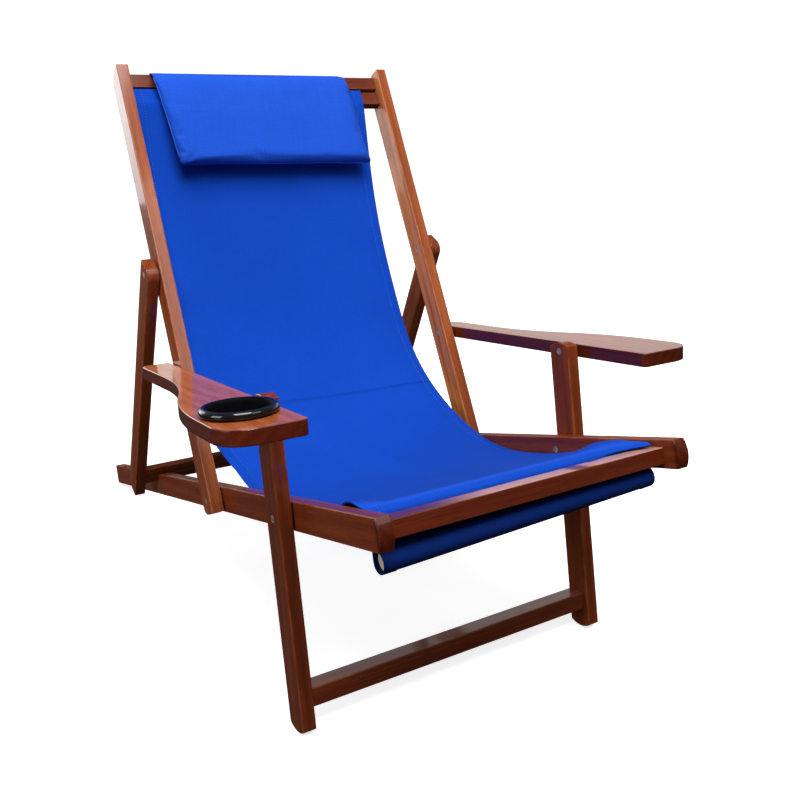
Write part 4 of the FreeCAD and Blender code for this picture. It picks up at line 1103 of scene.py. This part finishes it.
def pad_place(a, b, is_front):
    """A point of the pad's blank on its front or back panel, by shares across from its middle and down."""
    half = (PILLOW_TOP_WIDTH + (PILLOW_LOW_WIDTH - PILLOW_TOP_WIDTH) * b) / 2 - 2 * MM
    askew = 4.4 * MM * b * a
    down = 2 * MM + b * (PILLOW_HEIGHT - 5 * MM) + askew
    rise = (1 - abs(a) ** 24) ** 0.4 * (1 - abs(2 * b - 1) ** 18) ** 0.4
    thick = (8.5 + 11 * min(1, b * 2.2)) * MM * rise
    bend_over_bar = -9.5 * MM * max(0, 1 - down / (42 * MM)) ** 2
    seam = 7.5 * MM + bend_over_bar
    front = seam + thick * (FRONT_SHARE if is_front else FRONT_SHARE - 1)
    middle = PILLOW_TOP_MIDDLE + (PILLOW_LOW_MIDDLE - PILLOW_TOP_MIDDLE) * b
    return (middle + a * half, *on_pillow(down, front))


def pillow_blank():
    """The pad before it is filled: two panels that meet in a seam, thin where they bend over the bar."""
    columns, rows = 64, 34
    layer = (rows + 1) * (columns + 1)
    places, faces = [], []
    for panel in (0, 1):
        for row in range(rows + 1):
            for column in range(columns + 1):
                places.append(pad_place(2 * column / columns - 1, row / rows, panel == 0))
        for row in range(rows):
            for column in range(columns):
                base = panel * layer + row * (columns + 1) + column
                quad = (base, base + 1, base + columns + 2, base + columns + 1)
                faces.append(quad if panel else quad[::-1])
    mesh = bpy.data.meshes.new("head_pillow_blank")
    mesh.from_pydata(places, [], faces)
    point_outwards(mesh, merge=0.3 * MM)
    return mesh


def fill_pad(pad, voxel, pressure, cap, frames):
    """Blows the pad up as cloth, and keeps each point within reach of where it began."""
    remesh = pad.modifiers.new("skin", "REMESH")
    remesh.mode = "VOXEL"
    remesh.voxel_size = voxel
    skin = made_plain(pad)
    pad.modifiers.clear()
    pad.data = skin
    start = np.array([v.co for v in skin.vertices])
    swell = pad.modifiers.new("swell", "CLOTH")
    swell.settings.use_pressure = True
    swell.settings.uniform_pressure_force = pressure
    swell.settings.effector_weights.gravity = 0
    swell.settings.mass = 0.25
    swell.settings.tension_stiffness = 18
    swell.settings.compression_stiffness = 18
    swell.settings.bending_stiffness = 0.4
    swell.point_cache.frame_start = 1
    swell.point_cache.frame_end = frames
    for number in range(1, frames + 1):
        scene.frame_set(number)
    filled = made_plain(pad)
    pad.modifiers.clear()
    scene.frame_set(1)
    moved = np.array([v.co for v in filled.vertices]) - start
    reach = np.linalg.norm(moved, axis=1)
    moved *= np.minimum(1, cap / np.maximum(reach, 1e-9))[:, None]
    filled.vertices.foreach_set("co", (start + moved).ravel())
    filled.update()
    pad.data = filled


def subdivide(piece, levels):
    """Subdivides a piece and keeps the result as its plain mesh."""
    fine = piece.modifiers.new("fine", "SUBSURF")
    fine.levels = levels
    fine.render_levels = levels
    mesh = made_plain(piece)
    piece.modifiers.clear()
    piece.data = mesh
    shade_smooth(mesh)


def edge_seam(name, pad, radius):
    """The pinched seam down the pillow's sides and along its lower edge, a fine roll on the filled pad."""
    places = np.array([v.co for v in pad.data.vertices])
    down = (PILLOW_TOP - places[:, 1:]) @ turned((1, 0), PILLOW_LEAN)
    step, near = 6 * MM, 3.5 * MM
    left, right, low = [], [], []
    for level in np.arange(down.min() + 2 * step, down.max() - step, step):
        row = places[np.abs(down - level) < near]
        left.append(row[row[:, 0].argmin()])
        right.append(row[row[:, 0].argmax()])
    for x in np.arange(left[-1][0] + step, right[-1][0] - step / 2, step):
        column = np.abs(places[:, 0] - x) < near
        low.append(places[column][down[column].argmax()])
    path = np.array(left + low + right[::-1])
    for _ in range(3):
        path[1:-1] = (path[:-2] + 2 * path[1:-1] + path[2:]) / 4
    curve = bpy.data.curves.new(name, "CURVE")
    curve.dimensions = "3D"
    curve.bevel_depth = radius
    curve.bevel_resolution = 1
    curve.use_fill_caps = True
    spline = curve.splines.new("POLY")
    spline.points.add(len(path) - 1)
    spline.points.foreach_set("co", np.column_stack([path, np.ones(len(path))]).ravel())
    roll = put(name, curve)
    mesh = made_plain(roll)
    bpy.data.objects.remove(roll)
    shade_smooth(mesh)
    return put(name, mesh)


class FlapDrape(Drape):
    """The flap: centred on the pillow's top edge and waving a little where it hangs free."""

    FREE_FROM = 75 * MM

    def __init__(self, line):
        along, _ = line_frame(line)
        self.length = float(along[-1])

    def middle(self, s):
        return np.full(len(s), PILLOW_TOP_MIDDLE)

    def ripple(self, s, x):
        free = np.clip((s - self.FREE_FROM) / (self.length - self.FREE_FROM), 0, 1)
        return free * (1.6 * np.sin(x * 38 + 0.7) + 1.0 * np.sin(x * 21)) * MM


def make_pillow():
    """The stuffed pad, and the fine roll of its edge seam, dyed paler as a painted highlight along the
    pillow's edges.
    """
    turn = about_x(PILLOW_LEAN)
    pad = put("head_pillow_pad", pillow_blank())
    fill_pad(pad, voxel=4.5 * MM, pressure=4.0, cap=5 * MM, frames=18)
    subdivide(pad, 1)
    pad.data.materials.clear()
    pad.data.materials.append(canvas("pillow_canvas", PILLOW_BLUE, turn))
    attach(pad, "back_frame")
    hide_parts("head_pillow")
    seam = edge_seam("pillow_edge_seam", pad, 0.9 * MM)
    # The seam's paler blue is a painted highlight
    seam.data.materials.append(canvas("pillow_seam_highlight_canvas", SEAM_HIGHLIGHT_BLUE, turn))
    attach(seam, "back_frame")


def make_flap():
    """The flap that holds the pillow: over the upper crossbar and down behind it."""
    fall = on_back(SLOT_UP, 45.2)
    corners = [
        on_pillow(8 * MM, -1 * MM),
        on_back(UPPER_BAR_TOP, -4.4),
        on_back(UPPER_BAR_TOP, 16.9),
        fall,
        fall + np.array([0, -FLAP_HANG]),
    ]
    line = bent_line(corners, [1.6 * MM, 3 * MM, 6 * MM], step=5 * MM)
    flap, length = cloth_strip("pillow_flap_cloth", line, FLAP_WIDTH, FlapDrape(line), FLAP_CLOTH, FLAP_HEM,
                               FLAP_HEM_THICK, canvas("flap_canvas", PILLOW_BLUE))
    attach(flap, "back_frame")
    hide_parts("pillow_flap")


# The cup, turned with a full rounded lip

CUP_SIDES = 96


def make_cup():
    mount = mounts["cup_bore"]
    axis = Vector(mount["axis"]).normalized()
    seat = Vector(mount["pos_m"]) + axis * (mount["dims"]["length_mm"] / 2 * MM)
    # The cup's section, as its radius and its height above the armrest, in millimetres
    lip = [(41 + 5 * math.cos(math.radians(angle)), 5.2 + 5.4 * math.sin(math.radians(angle)))
           for angle in range(-60, 181, 15)]
    profile = [(0, -18.5), (35, -18.5), (37.3, -17.9), (38, -16), (38, -1), (38.4, 0.3)] + lip
    profile += [(35.7, 0.6), (35.5, -2.5), (35.4, -13), (34.8, -15), (33, -16), (0, -16)]
    mesh = bpy.data.meshes.new("cup_insert")
    shell = bmesh.new()
    spine = [shell.verts.new((r * MM, 0, z * MM)) for r, z in profile]
    edges = [shell.edges.new(pair) for pair in zip(spine, spine[1:])]
    bmesh.ops.spin(shell, geom=spine + edges, cent=(0, 0, 0), axis=(0, 0, 1), angle=2 * math.pi,
                   steps=CUP_SIDES, use_merge=True)
    bmesh.ops.remove_doubles(shell, verts=shell.verts, dist=0.05 * MM)
    bmesh.ops.recalc_face_normals(shell, faces=shell.faces)
    turn = axis.to_track_quat("Z", "Y").to_matrix().to_4x4()
    bmesh.ops.transform(shell, matrix=Matrix.Translation(seat) @ turn, verts=shell.verts)
    shell.to_mesh(mesh)
    shell.free()
    shade_smooth(mesh)
    mesh.materials.append(cup_plastic("black_gloss", axis, seat))
    cup = put("cup_insert", mesh)
    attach(cup, "arm_left")
    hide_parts("cup_holder")


place_camera()
build_studio()
light_studio()
finish_sides()
finish_bars()
finish_fittings()
make_sling()
make_pillow()
make_flap()
make_cup()

bpy.context.view_layer.update()
